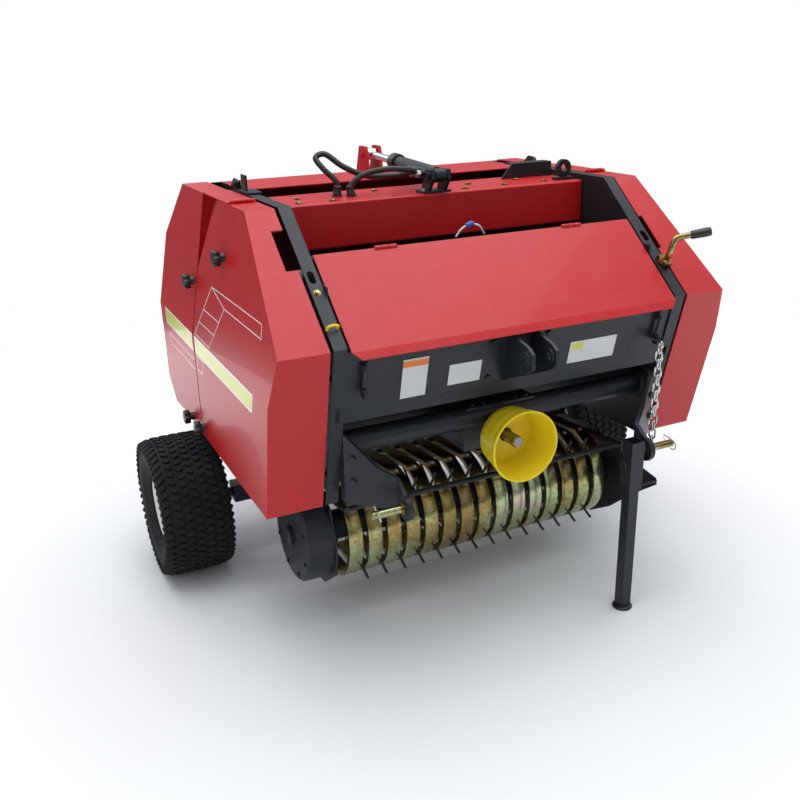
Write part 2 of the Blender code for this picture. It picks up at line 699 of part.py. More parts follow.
def side_slot():
    """Cutter for the narrow slot in the right cover."""
    slope = (TOP_Z - BEND_Z) / NOSE_Y
    y0, y1 = 0.135, 0.232
    return prism([(y0, BEND_Z + y0 * slope - 0.03), (y0, BEND_Z + y0 * slope + 0.05),
                  (y1, BEND_Z + y1 * slope + 0.05), (y1, BEND_Z + y1 * slope - 0.03)],
                 COVER_IN - 0.02, 0.556)


def gate_door():
    """Right rear cover, which rides on the tailgate."""
    front = SEAM_Y + SEAM_GAP / 2
    top, low = TOP_Z - 0.003, SKIRT_Z - 0.002
    outline = [(front, top), (1.030, top), (REAR_Y - 0.018, 1.045), (REAR_Y, FOLD_Z),
               (REAR_Y, 0.540), (1.140, low - 0.010), (1.020, low), (front, low)]
    outer, inner = [], []
    for y, z in outline:
        outer.append((cover_x(z), y, z))
        inner.append((COVER_IN, y, z))
    points = outer + inner + [(COVER_OUT, front, FOLD_Z)]
    strips = [(k, k + 1, k + 9, k + 8) for k in range(0, 5)]
    faces = strips + [(0, 16, 3, 2, 1), (16, 7, 6, 5, 4, 3)]
    sheet = folded_sheet(points, faces, COVER_SHEET)
    rings, bores = [], []
    for z in GATE_HINGES:
        ring, bore = hinge_eye(REAR_Y - DOOR_AXIS_IN, z)
        rings.append(ring)
        bores.append(bore)
    return fuse([sheet] + rings, bores)


def door_knobs(places):
    """Star knob on a short stem through a cover, one for each (y, z) place."""
    knobs = []
    for y, z in places:
        x = cover_x(z)
        profile = [(0, x - 0.010), (0.004, x - 0.010), (0.004, x + 0.004), (0.010, x + 0.004),
                   (0.010, x + 0.014), (0.017, x + 0.014), (0.017, x + 0.032), (0, x + 0.032)]
        knobs.append(turned(profile, (0, y, z), "x", 16))
    return knobs


FRONT_KNOBS = ((0.500, 1.083), (0.730, 0.513))
GATE_KNOBS = ((0.800, 0.963), (0.880, 0.500))


def top_flap():
    """Loose leaf on the top that covers the joint between the two covers."""
    top = TOP_Z - 0.003
    leaf = box((COVER_IN, 0.5062, top), (cover_x(top) + 0.002, SEAM_Y - 0.002, top + COVER_SHEET))
    knuckle = rod((0, 0.5005, top + 0.0052), 0.0045, 0.560, 0.606, "x", 12)
    bore = rod((0, 0.5005, top + 0.0052), 0.0020 + RUNNING, 0.5, 0.7, "x", 12)
    tab = box((0.5605, 0.5015, top + 0.0002), (0.6055, 0.5100, top + COVER_SHEET))
    return fuse([leaf, tab, knuckle], [bore])


def flap_pin():
    """Pin and two end knuckles on the front cover that carry the flap."""
    top = TOP_Z - 0.003
    y, z = 0.5005, top + 0.0052
    pin = turned([(0, 0.548), (0.0045, 0.548), (0.0045, 0.558), (0.0020, 0.558), (0.0020, 0.6075),
                  (0.0045, 0.6075), (0.0045, 0.6175), (0, 0.6175)], (0, y, z), "x", 12)
    ends = []
    for low in (0.5485, 0.6080):
        ends.append(box((low, y - 0.0085, top - 0.002), (low + 0.009, y - 0.001, top + 0.0035)))
    return [pin] + ends


def front_lid():
    """Sloped lid of the twine box, bent down along its lower edge."""
    slope = (TOP_Z - BEND_Z) / NOSE_Y
    x = HALF - 0.0065
    low_y = -0.010
    z_low = LID_Z + (low_y - LID_Y) * slope
    lip = (low_y - 0.016, z_low - 0.018)
    points = [(-x, LID_Y, LID_Z), (x, LID_Y, LID_Z), (x, low_y, z_low), (-x, low_y, z_low),
              (x - 0.022, lip[0], lip[1]), (-x + 0.022, lip[0], lip[1])]
    sheet = folded_sheet(points, [(0, 3, 2, 1), (3, 5, 4, 2)], COVER_SHEET)
    knuckles = []
    for centre in (-0.292, 0.292):
        knuckles.append(rod((0, LID_Y, LID_Z - 0.0015), 0.0050, centre - 0.032, centre + 0.032, "x", 12))
    return fuse([sheet] + knuckles)


# ---------------------------------------------------------------- tailgate
GATE_OUTLINE = [(SEAM_Y + 0.005, 1.2225), (1.018, 1.2225), (REAR_Y - 0.030, 1.038), (REAR_Y - 0.012, FOLD_Z),
                (REAR_Y - 0.012, 0.546), (1.134, SKIRT_Z + 0.004), (1.020, SKIRT_Z - 0.066),
                (CHAMBER_Y + 0.010, SKIRT_Z - 0.070), (SEAM_Y + 0.005, SKIRT_Z - 0.060)]


def gate_side():
    """Right side plate of the tailgate, its rear fold and its ear on the hinge pin."""
    plate = prism(GATE_OUTLINE, HALF, HALF + SHEET)
    pieces = [plate]
    outer = GATE_OUTLINE[1:6]
    inner = [(y - SHEET, z - SHEET * 0.4) for y, z in outer]
    pieces.append(prism(outer + inner[::-1], HALF + SHEET / 2, FLANGE_X))
    ear_in = HINGE_LUG_X + HINGE_LUG + 0.0015
    top = GATE_OUTLINE[0][1]
    pieces.append(box((HALF + SHEET / 2, HINGE_Y + 0.007, top - 0.004), (ear_in + 0.006, HINGE_Y + 0.070, top)))
    pieces.append(prism([(HINGE_Y + 0.007, top - 0.004), (HINGE_Y + 0.070, top - 0.004),
                         (HINGE_Y + 0.070, top), (HINGE_Y + 0.026, HINGE_Z + 0.014),
                         (HINGE_Y - 0.007, HINGE_Z + 0.0125), (HINGE_Y - 0.0125, HINGE_Z + 0.007),
                         (HINGE_Y - 0.0125, HINGE_Z - 0.007), (HINGE_Y - 0.006, HINGE_Z - 0.0135),
                         (HINGE_Y + 0.007, HINGE_Z - 0.0142)], ear_in, ear_in + 0.006))
    for z in GATE_HINGES:
        pieces.extend(hinge_bracket(REAR_Y - DOOR_AXIS_IN, z, -1))
    bore = rod((0, HINGE_Y, HINGE_Z), HINGE_PIN_R + RUNNING, HINGE_LUG_X + HINGE_LUG, HALF + 0.1)
    return fuse(pieces, [bore])


def gate_panel():
    """Red sheet that wraps round the back of the tailgate, open underneath."""
    x = HALF - FIT
    outline = [(SEAM_Y + 0.012, 1.2225), (1.018, 1.2225), (REAR_Y - 0.030, 1.038), (REAR_Y - 0.012, FOLD_Z),
               (REAR_Y - 0.012, 0.546), (1.134, SKIRT_Z + 0.004)]
    points = [(-x, y, z) for y, z in outline] + [(x, y, z) for y, z in outline]
    faces = [(k, k + 6, k + 7, k + 1) for k in range(5)]
    sheet = folded_sheet(points, faces, COVER_SHEET)
    lug_y, lug_z = LUG_Y, LUG_Z
    pieces = [sheet]
    for side in (-1, 1):
        lug_x = CYL_X + side * 0.024
        pieces.append(prism([(lug_y - 0.034, 1.2215), (lug_y + 0.060, 1.2215), (lug_y + 0.028, lug_z + 0.026),
                             (lug_y - 0.020, lug_z + 0.026), (lug_y - 0.030, lug_z)],
                            lug_x - 0.005, lug_x + 0.005))
        tip = sorted((lug_x + side * 0.003, lug_x + side * 0.011))
        pieces.append(rod((0, lug_y, lug_z), CYL_PIN_R, tip[0], tip[1], "x", 14))
    return fuse(pieces)


def bale_roller(angle):
    """Steel roller between the side plates, with its shaft ends."""
    y, z = ring_spot(angle)
    half = HALF - 0.006
    tip = HALF - FIT
    profile = [(0, -tip), (ROLLER_SHAFT_R, -tip), (ROLLER_SHAFT_R, -half), (ROLLER_R, -half),
               (ROLLER_R, half), (ROLLER_SHAFT_R, half), (ROLLER_SHAFT_R, tip), (0, tip)]
    return turned(profile, (0, y, z), "x", 14)


# ---------------------------------------------------------------- cylinder
def along_cylinder(distance):
    """Point on the cylinder's centre line, measured from its front pin."""
    line = Vector((0, LUG_Y - CYL_Y, LUG_Z - CYL_Z))
    return Vector((CYL_X, CYL_Y, CYL_Z)) + line.normalized() * distance


def pinned_eye(y, z, half):
    """Eye with the pin that runs through it; half is half the eye's width."""
    tip = 0.037
    return turned([(0, -tip), (CYL_PIN_R, -tip), (CYL_PIN_R, -half), (0.019, -half), (0.019, half),
                   (CYL_PIN_R, half), (CYL_PIN_R, tip), (0, tip)], (CYL_X, y, z), "x", 16)


def cylinder_barrel():
    """Barrel, front eye with its pin, and the bore that the rod slides in."""
    bore_r = ROD_R + RUNNING
    head = BARREL_LENGTH - 0.030
    barrel = turned([(0, 0.012), (BARREL_R, 0.012), (BARREL_R, head), (BARREL_R + 0.003, head),
                     (BARREL_R + 0.003, BARREL_LENGTH + 0.012), (bore_r, BARREL_LENGTH + 0.012),
                     (bore_r, 0.060), (0, 0.060)], (0, 0, 0), "z", 16)
    tilt = math.atan2(LUG_Y - CYL_Y, LUG_Z - CYL_Z)
    barrel.data.transform(Matrix.Translation(along_cylinder(0)) @ Matrix.Rotation(-tilt, 4, "X"))
    ports = []
    for y in (0.498, 0.545):
        z = CYL_Z + (y - CYL_Y) * (LUG_Z - CYL_Z) / (LUG_Y - CYL_Y)
        ports.append(rod((0, y, z), 0.0095, -0.0540, CYL_X, "x", 12))
    return fuse([barrel, pinned_eye(CYL_Y, CYL_Z, 0.018)] + ports)


def cylinder_rod():
    """Chromed rod with its eye, which stands free between the tailgate's lugs."""
    reach = (Vector((CYL_X, LUG_Y, LUG_Z)) - along_cylinder(0)).length
    bar = rod_between(along_cylinder(0.215), along_cylinder(reach - 0.008), ROD_R - 0.0001, 16)
    eye = rod((0, LUG_Y, LUG_Z), 0.019, CYL_X - 0.0135, CYL_X + 0.0135, "x", 20)
    return fuse([bar, eye])


# ---------------------------------------------------------------- wheels
def tyre(side):
    """Wide turf tyre, open at the rim."""
    middle = side * (TYRE_OUTER_X - TYRE_WIDTH / 2)
    half = TYRE_WIDTH / 2
    profile = [(RIM_R + FIT, -half * 0.74), (RIM_R + 0.030, -half * 0.90), (RIM_R + 0.065, -half),
               (TYRE_R - 0.026, -half * 0.97), (TYRE_R - 0.006, -half * 0.80), (TYRE_R, -half * 0.55),
               (TYRE_R, half * 0.55), (TYRE_R - 0.006, half * 0.80), (TYRE_R - 0.026, half * 0.97),
               (RIM_R + 0.065, half), (RIM_R + 0.030, half * 0.90), (RIM_R + FIT, half * 0.74)]
    return turned(profile, (middle, AXLE_Y, TYRE_R), "x", 30)


def rim(side):
    """Rim, dished disc and hub on the stub axle."""
    half = TYRE_WIDTH / 2 * 0.74
    middle = side * (TYRE_OUTER_X - TYRE_WIDTH / 2)
    disc = 0.030 * side
    well = 0.006
    profile = [(AXLE_R + RUNNING, disc - 0.034), (0.034, disc - 0.034), (0.034, disc - 0.005),
               (RIM_R - 0.018, disc - 0.005), (RIM_R - 0.018, -half * 0.9), (RIM_R - well, -half),
               (RIM_R, -half), (RIM_R, half), (RIM_R - well, half), (RIM_R - 0.018, half * 0.9),
               (RIM_R - 0.018, disc + 0.003), (0.034, disc + 0.003), (0.034, disc + 0.030),
               (AXLE_R + RUNNING, disc + 0.030)]
    return turned(profile, (middle, AXLE_Y, TYRE_R), "x", 30)


# ---------------------------------------------------------------- pickup
def strip_x(index):
    """Centre of a stripper band across the pickup."""
    return (index - (STRIP_COUNT - 1) / 2) * STRIP_PITCH


def pickup_strips():
    """Curved bands that the tines rise between, on two cross bars."""
    angles = [math.radians(a) for a in range(100, 291, 24)]
    outer = [(PICKUP_Y + STRIP_R * math.cos(a), PICKUP_Z + STRIP_R * math.sin(a)) for a in angles]
    inner_r = STRIP_R - STRIP_THICK
    inner = [(PICKUP_Y + inner_r * math.cos(a), PICKUP_Z + inner_r * math.sin(a)) for a in angles]
    tail_top = (PICKUP_Y + 0.174, outer[0][1] - 0.014)
    tail_low = (PICKUP_Y + 0.144, PICKUP_Z - STRIP_R + 0.001)
    outer = [tail_top] + outer + [tail_low]
    inner = [(tail_top[0], tail_top[1] - STRIP_THICK)] + inner + [(tail_low[0], tail_low[1] + STRIP_THICK)]
    bands = []
    for index in range(STRIP_COUNT):
        x = strip_x(index)
        bands.append(prism(outer + inner[::-1], x - STRIP_WIDTH / 2, x + STRIP_WIDTH / 2))
    end = HALF - 0.020 - FIT
    top_bar = box((-end, tail_top[0] - 0.017, tail_top[1] - 0.012), (end, tail_top[0] - 0.002, tail_top[1] - 0.002))
    low_bar = box((-end, tail_low[0] - 0.015, tail_low[1] - 0.008), (end, tail_low[0] - 0.002, tail_low[1] + 0.002))
    return fuse([top_bar] + bands + [low_bar])


def pickup_side_right():
    """Right end plate, with the horn that the chain holds."""
    inner, outer = HALF - 0.020, HALF - 0.014
    outline = [(LIFT_Y + 0.026, LIFT_Z), (LIFT_Y + 0.010, LIFT_Z + 0.028), (0.420, 0.420), (PICKUP_Y, 0.444),
               (0.200, 0.400), (0.000, 0.372), (-0.004, 0.352), (0.100, 0.275), (0.205, 0.185),
               (0.300, 0.128), (0.400, 0.118), (0.492, 0.118), (0.520, 0.215), (LIFT_Y + 0.020, LIFT_Z - 0.030)]
    plate = prism(outline, inner, outer)
    horn = box((0.430, -0.004, 0.360), (outer, 0.014, 0.366))
    bearing = rod((0, PICKUP_Y, PICKUP_Z), 0.034, inner - 0.012, outer, "x", 24)
    holes = [rod((0, LIFT_Y, LIFT_Z), 0.012 + RUNNING, 0.4, 0.6),
             rod((0, PICKUP_Y, PICKUP_Z), 0.015 + RUNNING, 0.4, outer - 0.003)]
    return fuse([plate, horn, bearing], holes)


def pickup_side_left():
    """Left end plate with its round chain case outside."""
    inner, outer = -(HALF - 0.014), -(HALF - 0.020)
    outline = [(LIFT_Y + 0.026, LIFT_Z), (LIFT_Y + 0.010, LIFT_Z + 0.028), (0.420, 0.420), (PICKUP_Y, 0.444),
               (0.230, 0.400), (0.190, PICKUP_Z), (0.205, 0.200), (0.300, 0.128), (0.400, 0.118),
               (0.492, 0.118), (0.520, 0.215), (LIFT_Y + 0.020, LIFT_Z - 0.030)]
    plate = prism(outline, inner, outer)
    case = turned([(0, -0.575), (0.030, -0.575), (0.030, -0.566), (0.132, -0.566), (0.140, -0.558),
                   (0.140, inner + 0.001), (0, inner + 0.001)], (0, PICKUP_Y, PICKUP_Z), "x", 32)
    bearing = rod((0, PICKUP_Y, PICKUP_Z), 0.034, outer, outer + 0.012, "x", 24)
    holes = [rod((0, LIFT_Y, LIFT_Z), 0.012 + RUNNING, -0.6, -0.4),
             rod((0, PICKUP_Y, PICKUP_Z), 0.015 + RUNNING, inner - 0.004, -0.4)]
    return fuse([plate, case, bearing], holes)


def pickup_reel():
    """Shaft with four tines in each gap between the bands."""
    reach = HALF - 0.020 - 0.001
    shaft = rod((0, PICKUP_Y, PICKUP_Z), 0.015, -reach, reach, "x", 20)
    core = rod((0, PICKUP_Y, PICKUP_Z), 0.045, -HALF + 0.045, HALF - 0.045, "x", 20)
    pieces = [shaft, core]
    for index in range(STRIP_COUNT - 1):
        x = strip_x(index) + STRIP_PITCH / 2
        for turn in range(4):
            angle = math.radians(40 + 90 * turn)
            out = Vector((0, math.cos(angle), math.sin(angle)))
            side = Vector((0, -out.z, out.y))
            centre = Vector((0, PICKUP_Y, PICKUP_Z))
            root, tip = centre + out * 0.040, centre + out * TINE_R - side * 0.012
            outline = [(root + side * 0.005), (root - side * 0.005), (tip - side * 0.002), (tip + side * 0.002)]
            pieces.append(prism([(p.y, p.z) for p in outline], x - TINE_THICK / 2, x + TINE_THICK / 2))
    return fuse(pieces)


def wind_guard():
    """Rod above the pickup that holds the crop down, with an arm at each end."""
    y, z = 0.150, 0.432
    bar = rod((0, y, z), 0.0080, -HALF + 0.031, HALF - 0.031, "x", 12)
    arms = []
    for side in (-1, 1):
        x = side * (HALF - 0.034)
        arms.append(rod_between((x, y - 0.011, z + 0.0017), (x, 0.360, 0.400), 0.0095, 10))
        x0, x1 = sorted((x, side * (HALF - 0.020 - FIT)))
        arms.append(box((x0, 0.340, 0.394), (x1, 0.364, 0.406)))
    return fuse([bar] + arms)


# ---------------------------------------------------------------- assembly
def make_pivots():
    """One empty for each body, on its joint's axis."""
    pivot("frame", (0, 0, 0))
    pivot("tailgate", (0, HINGE_Y, HINGE_Z))
    pivot("cylinder", (CYL_X, CYL_Y, CYL_Z))
    pivot("rod", tuple(along_cylinder(BARREL_LENGTH)), "cylinder")
    pivot("lid", (0, LID_Y, LID_Z - 0.0015))
    pivot("pickup", (0, LIFT_Y, LIFT_Z))
    pivot("reel", (0, PICKUP_Y, PICKUP_Z), "pickup")
    pivot("pto", (0, 0, PTO_Z))
    pivot("stand", (STAND_X, STAND_Y, 0))
    for name, side in SIDES:
        pivot("wheel_" + name, (side * (TYRE_OUTER_X - TYRE_WIDTH / 2), AXLE_Y, TYRE_R))
        y = skirt_y(FRONT_HINGES[0]) + DOOR_AXIS_IN
        pivot("front_door_" + name, (side * DOOR_AXIS_X, y, FRONT_HINGES[0]))
        pivot("gate_door_" + name, (side * DOOR_AXIS_X, REAR_Y - DOOR_AXIS_IN, GATE_HINGES[0]), "tailgate")
        pivot("flap_" + name, (side * 0.583, 0.5005, TOP_Z - 0.003 + 0.0052), "front_door_" + name)
    for place, angles in (("frame", FRAME_ROLLER_ANGLES), ("tailgate", GATE_ROLLER_ANGLES)):
        for index, angle in enumerate(angles, 1):
            parent = None if place == "frame" else "tailgate"
            pivot(f"{place}_roller_{index}", (0, *ring_spot(angle)), parent)


def build_frame(red, dark, zinc, yellow, white, rubber):
    """Everything that is fixed to the main frame."""
    for name, side in SIDES:
        finish(mirrored(side_frame(side), side), "side_frame_" + name, dark, "frame")
        finish(mirrored(hitch_plate(), side), "hitch_plate_" + name, dark, "frame")
        finish(mirrored(lower_pin(), side), "lower_pin_" + name, zinc, "frame")
    plain = [
        (front_panel, "front_panel", dark), (cross_tube, "cross_tube", dark), (gearbox, "gearbox", dark),
        (top_beam, "top_beam", red), (twine_box, "twine_box", dark), (lid_rail, "lid_rail", dark),
        (pto_guard, "pto_guard", yellow), (stand_sleeve, "stand_sleeve", dark),
        (axle_beam, "axle_beam", dark), (lifting_eye, "lifting_eye", dark), (left_lug, "left_lug", dark),
        (top_bracket, "top_bracket", dark), (cylinder_bracket, "cylinder_bracket", dark),
        (crank_handle, "crank_handle", zinc), (twine_pulley, "twine_pulley", white),
        (chain_bar, "chain", zinc),
    ]
    for make, name, material in plain:
        finish(make(), name, material, "frame")
    for name, points in HOSES.items():
        finish(hose(points, HOSE_R), name, rubber, "frame")


def build_covers(red):
    """Front covers with their flaps."""
    for name, side in SIDES:
        door = front_door()
        cutter = pulley_notch() if side < 0 else side_slot()
        door = fuse([door] + flap_pin() + door_knobs(FRONT_KNOBS), [cutter])
        finish(mirrored(door, side), "front_door_" + name, red, "front_door_" + name)
        finish(mirrored(top_flap(), side), "top_flap_" + name, red, "flap_" + name)
    finish(front_lid(), "front_lid", red, "lid")


def build_tailgate(red, dark, steel, chrome):
    """Tailgate, its covers and the cylinder that lifts it."""
    for name, side in SIDES:
        finish(mirrored(gate_side(), side), "tailgate_side_" + name, dark, "tailgate")
        door = fuse([gate_door()] + door_knobs(GATE_KNOBS))
        finish(mirrored(door, side), "rear_door_" + name, red, "gate_door_" + name)
    finish(gate_panel(), "tailgate_panel", red, "tailgate")
    finish(cylinder_barrel(), "cylinder_barrel", steel, "cylinder")
    finish(cylinder_rod(), "cylinder_rod", chrome, "rod")


def build_rollers(steel):
    """The rollers that turn the bale."""
    for place, angles in (("frame", FRAME_ROLLER_ANGLES), ("tailgate", GATE_ROLLER_ANGLES)):
        for index, angle in enumerate(angles, 1):
            name = f"{place}_roller_{index}"
            finish(bale_roller(angle), name, steel, name)


def build_running_gear(dark, zinc, white, rubber, steel):
    """Wheels, pickup, stand and power shaft."""
    for name, side in SIDES:
        finish(tyre(side), "tyre_" + name, rubber, "wheel_" + name)
        finish(rim(side), "rim_" + name, white, "wheel_" + name)
    finish(pickup_strips(), "pickup_strips", zinc, "pickup")
    finish(pickup_side_left(), "pickup_side_left", dark, "pickup")
    finish(pickup_side_right(), "pickup_side_right", dark, "pickup")
    finish(wind_guard(), "wind_guard", dark, "pickup")
    finish(pickup_reel(), "pickup_reel", dark, "reel")
    finish(stand_leg(), "stand_leg", dark, "stand")
    finish(pto_shaft(), "pto_shaft", steel, "pto")


def place_origin():
    """Move every body along Y so that the machine's middle lies over the origin."""
    bpy.context.view_layer.update()
    low, high = 1e9, -1e9
    for thing in bpy.data.objects:
        if thing.type == "MESH":
            spots = [(thing.matrix_world @ Vector(corner)).y for corner in thing.bound_box]
            low, high = min(low, *spots), max(high, *spots)
    shift = -(low + high) / 2
    for marker in PIVOTS.values():
        if marker.parent is None:
            marker.location.y += shift
    print("middle moved by", round(shift, 6))


def main():
    """Build the whole machine."""
    clear_scene()
    red = paint("red_paint", (0.75, 0.03, 0.04), 0.35)
    dark = paint("charcoal_paint", (0.03, 0.035, 0.045), 0.45)
    zinc = paint("yellow_zinc", (0.62, 0.52, 0.26), 0.35, 1.0)
    yellow = paint("yellow_plastic", (0.90, 0.72, 0.02), 0.45)
    white = paint("white_paint", (0.80, 0.80, 0.78), 0.45)
    rubber = paint("black_rubber", (0.02, 0.02, 0.02), 0.80)
    steel = paint("bare_steel", (0.45, 0.45, 0.45), 0.40, 1.0)
    chrome = paint("chrome", (0.80, 0.80, 0.80), 0.12, 1.0)
    make_pivots()
    build_frame(red, dark, zinc, yellow, white, rubber)
    build_covers(red)
    build_tailgate(red, dark, steel, chrome)
    build_rollers(steel)
    build_running_gear(dark, zinc, white, rubber, steel)
    place_origin()


main()
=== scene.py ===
"""Looks of a mini round baler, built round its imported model."""

from __future__ import annotations

import logging
import math
from dataclasses import dataclass
from enum import Enum
from typing import Iterable, Sequence

import bmesh
import bpy
from mathutils import Matrix, Vector
from mathutils.bvhtree import BVHTree

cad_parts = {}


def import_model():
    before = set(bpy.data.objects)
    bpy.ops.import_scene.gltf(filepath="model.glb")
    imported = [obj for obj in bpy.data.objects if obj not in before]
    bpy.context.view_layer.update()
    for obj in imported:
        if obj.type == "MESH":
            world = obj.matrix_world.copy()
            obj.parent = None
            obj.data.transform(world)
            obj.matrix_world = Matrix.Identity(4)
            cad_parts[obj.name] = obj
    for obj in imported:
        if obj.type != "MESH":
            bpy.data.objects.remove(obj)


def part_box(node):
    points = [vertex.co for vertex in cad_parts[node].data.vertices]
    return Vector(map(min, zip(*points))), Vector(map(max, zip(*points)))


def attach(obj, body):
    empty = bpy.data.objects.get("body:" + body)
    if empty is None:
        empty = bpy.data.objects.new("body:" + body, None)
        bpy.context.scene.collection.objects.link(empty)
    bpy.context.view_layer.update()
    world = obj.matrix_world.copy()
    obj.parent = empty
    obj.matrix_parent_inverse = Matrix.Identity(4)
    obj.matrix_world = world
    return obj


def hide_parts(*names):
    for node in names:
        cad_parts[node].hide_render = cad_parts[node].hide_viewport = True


log = logging.getLogger("baler")

Colour = tuple[float, float, float]
SIDES: tuple[tuple[str, int], ...] = (("left", -1), ("right", 1))
TAU = math.tau


# ------------------------------------------------------------------ shader graphs
class Graph:
    """A node tree with short calls to add and join its nodes."""

    def __init__(self, tree: bpy.types.NodeTree) -> None:
        """Keeps the tree that the calls work on."""
        self.tree = tree

    def add(self, kind: str, values: dict[str, object] | None = None, **settings: object) -> bpy.types.Node:
        """Adds a node.

        Args:
            kind: Blender's name for the node type.
            values: Default values of its input sockets, by socket name.
            settings: Attributes of the node itself.

        Returns:
            The new node.
        """
        node = self.tree.nodes.new(kind)
        for name, value in settings.items():
            setattr(node, name, value)
        for name, value in (values or {}).items():
            node.inputs[name].default_value = value
        return node

    def join(self, start: bpy.types.NodeSocket, end: bpy.types.NodeSocket) -> None:
        """Links one socket to another."""
        self.tree.links.new(start, end)

    def math(self, operation: str, first: object, second: object) -> bpy.types.NodeSocket:
        """Adds a Math node whose operands are sockets or numbers.

        Args:
            operation: The node's operation.
            first: Socket or number.
            second: Socket or number.

        Returns:
            The node's output socket.
        """
        node = self.add("ShaderNodeMath", operation=operation)
        for socket, operand in zip(node.inputs, (first, second)):
            if isinstance(operand, (int, float)):
                socket.default_value = operand
            else:
                self.join(operand, socket)
        return node.outputs[0]

    def mix(self, mask: bpy.types.NodeSocket, first: object, second: object) -> bpy.types.NodeSocket:
        """Mixes two colours by a mask.

        Args:
            mask: Socket that is 0 for the first colour and 1 for the second.
            first: Socket or colour.
            second: Socket or colour.

        Returns:
            The mixed colour's socket.
        """
        node = self.add("ShaderNodeMix", data_type="RGBA")
        self.join(mask, node.inputs["Factor"])
        for socket, operand in ((node.inputs[6], first), (node.inputs[7], second)):
            if isinstance(operand, tuple):
                socket.default_value = (*operand, 1.0)
            else:
                self.join(operand, socket)
        return node.outputs[2]


def shader_group(name: str, inputs: dict[str, float],
                 outputs: Sequence[str]) -> tuple[Graph, bpy.types.Node, bpy.types.Node]:
    """Starts a shader node group.

    Args:
        name: The group's name.
        inputs: Default value of each number that it takes.
        outputs: Names of the numbers that it gives.

    Returns:
        Its graph, input node and output node.
    """
    tree = bpy.data.node_groups.new(name, "ShaderNodeTree")
    for label, value in inputs.items():
        tree.interface.new_socket(label, in_out="INPUT", socket_type="NodeSocketFloat").default_value = value
    for label in outputs:
        tree.interface.new_socket(label, in_out="OUTPUT", socket_type="NodeSocketFloat")
    graph = Graph(tree)
    return graph, graph.add("NodeGroupInput"), graph.add("NodeGroupOutput")


def mottle_group() -> bpy.types.NodeTree:
    """Builds the group for uneven colour and gloss: broad patches under a finer grain."""
    name = "uneven surface"
    if name in bpy.data.node_groups:
        return bpy.data.node_groups[name]
    graph, start, end = shader_group(name, {"Scale": 6.0, "Contrast": 1.0}, ("Mask", "Grain"))
    place = graph.add("ShaderNodeTexCoord")
    broad = graph.add("ShaderNodeTexNoise", {"Detail": 3.0, "Roughness": 0.55})
    fine = graph.add("ShaderNodeTexNoise", {"Detail": 4.0, "Roughness": 0.65})
    graph.join(start.outputs["Scale"], broad.inputs["Scale"])
    graph.join(graph.math("MULTIPLY", start.outputs["Scale"], 28.0), fine.inputs["Scale"])
    for noise in (broad, fine):
        graph.join(place.outputs["Object"], noise.inputs["Vector"])
    mixed = graph.math("ADD", graph.math("MULTIPLY", broad.outputs[0], 0.7),
                       graph.math("MULTIPLY", fine.outputs[0], 0.3))
    spread = graph.math("MULTIPLY", graph.math("SUBTRACT", mixed, 0.5), start.outputs["Contrast"])
    clamp = graph.add("ShaderNodeClamp")
    graph.join(graph.math("ADD", spread, 0.5), clamp.inputs["Value"])
    graph.join(clamp.outputs[0], end.inputs["Mask"])
    graph.join(fine.outputs[0], end.inputs["Grain"])
    return graph.tree


def dust_group() -> bpy.types.NodeTree:
    """Builds the group for dust that settles on what faces up, thicker in patches."""
    name = "settled dust"
    if name in bpy.data.node_groups:
        return bpy.data.node_groups[name]
    graph, start, end = shader_group(name, {"Amount": 0.1, "Scale": 12.0}, ("Mask",))
    place = graph.add("ShaderNodeTexCoord")
    shape = graph.add("ShaderNodeNewGeometry")
    split = graph.add("ShaderNodeSeparateXYZ")
    graph.join(shape.outputs["Normal"], split.inputs[0])
    up = graph.add("ShaderNodeMapRange", {"From Min": -0.3, "From Max": 1.0, "To Min": 0.15, "To Max": 1.0})
    graph.join(split.outputs["Z"], up.inputs["Value"])
    patches = graph.add("ShaderNodeTexNoise", {"Detail": 6.0, "Roughness": 0.7})
    graph.join(place.outputs["Object"], patches.inputs["Vector"])
    graph.join(start.outputs["Scale"], patches.inputs["Scale"])
    thick = graph.add("ShaderNodeMapRange", {"From Min": 0.42, "From Max": 0.78})
    graph.join(patches.outputs[0], thick.inputs["Value"])
    mask = graph.math("MULTIPLY", graph.math("MULTIPLY", up.outputs[0], thick.outputs[0]),
                      start.outputs["Amount"])
    graph.join(mask, end.inputs["Mask"])
    return graph.tree


def speck_group() -> bpy.types.NodeTree:
    """Builds the group for small chips and scuffs in a coating."""
    name = "chips and scuffs"
    if name in bpy.data.node_groups:
        return bpy.data.node_groups[name]
    graph, start, end = shader_group(name, {"Amount": 0.1, "Scale": 90.0}, ("Mask",))
    place = graph.add("ShaderNodeTexCoord")
    spots = graph.add("ShaderNodeTexNoise", {"Detail": 2.0, "Roughness": 0.5})
    where = graph.add("ShaderNodeTexNoise", {"Scale": 5.0, "Detail": 2.0})
    for noise in (spots, where):
        graph.join(place.outputs["Object"], noise.inputs["Vector"])
    graph.join(start.outputs["Scale"], spots.inputs["Scale"])
    sharp = graph.add("ShaderNodeMapRange", {"From Min": 0.72, "From Max": 0.76})
    graph.join(spots.outputs[0], sharp.inputs["Value"])
    near = graph.add("ShaderNodeMapRange", {"From Min": 0.5, "From Max": 0.7})
    graph.join(where.outputs[0], near.inputs["Value"])
    mask = graph.math("MULTIPLY", graph.math("MULTIPLY", sharp.outputs[0], near.outputs[0]),
                      start.outputs["Amount"])
    graph.join(mask, end.inputs["Mask"])
    return graph.tree


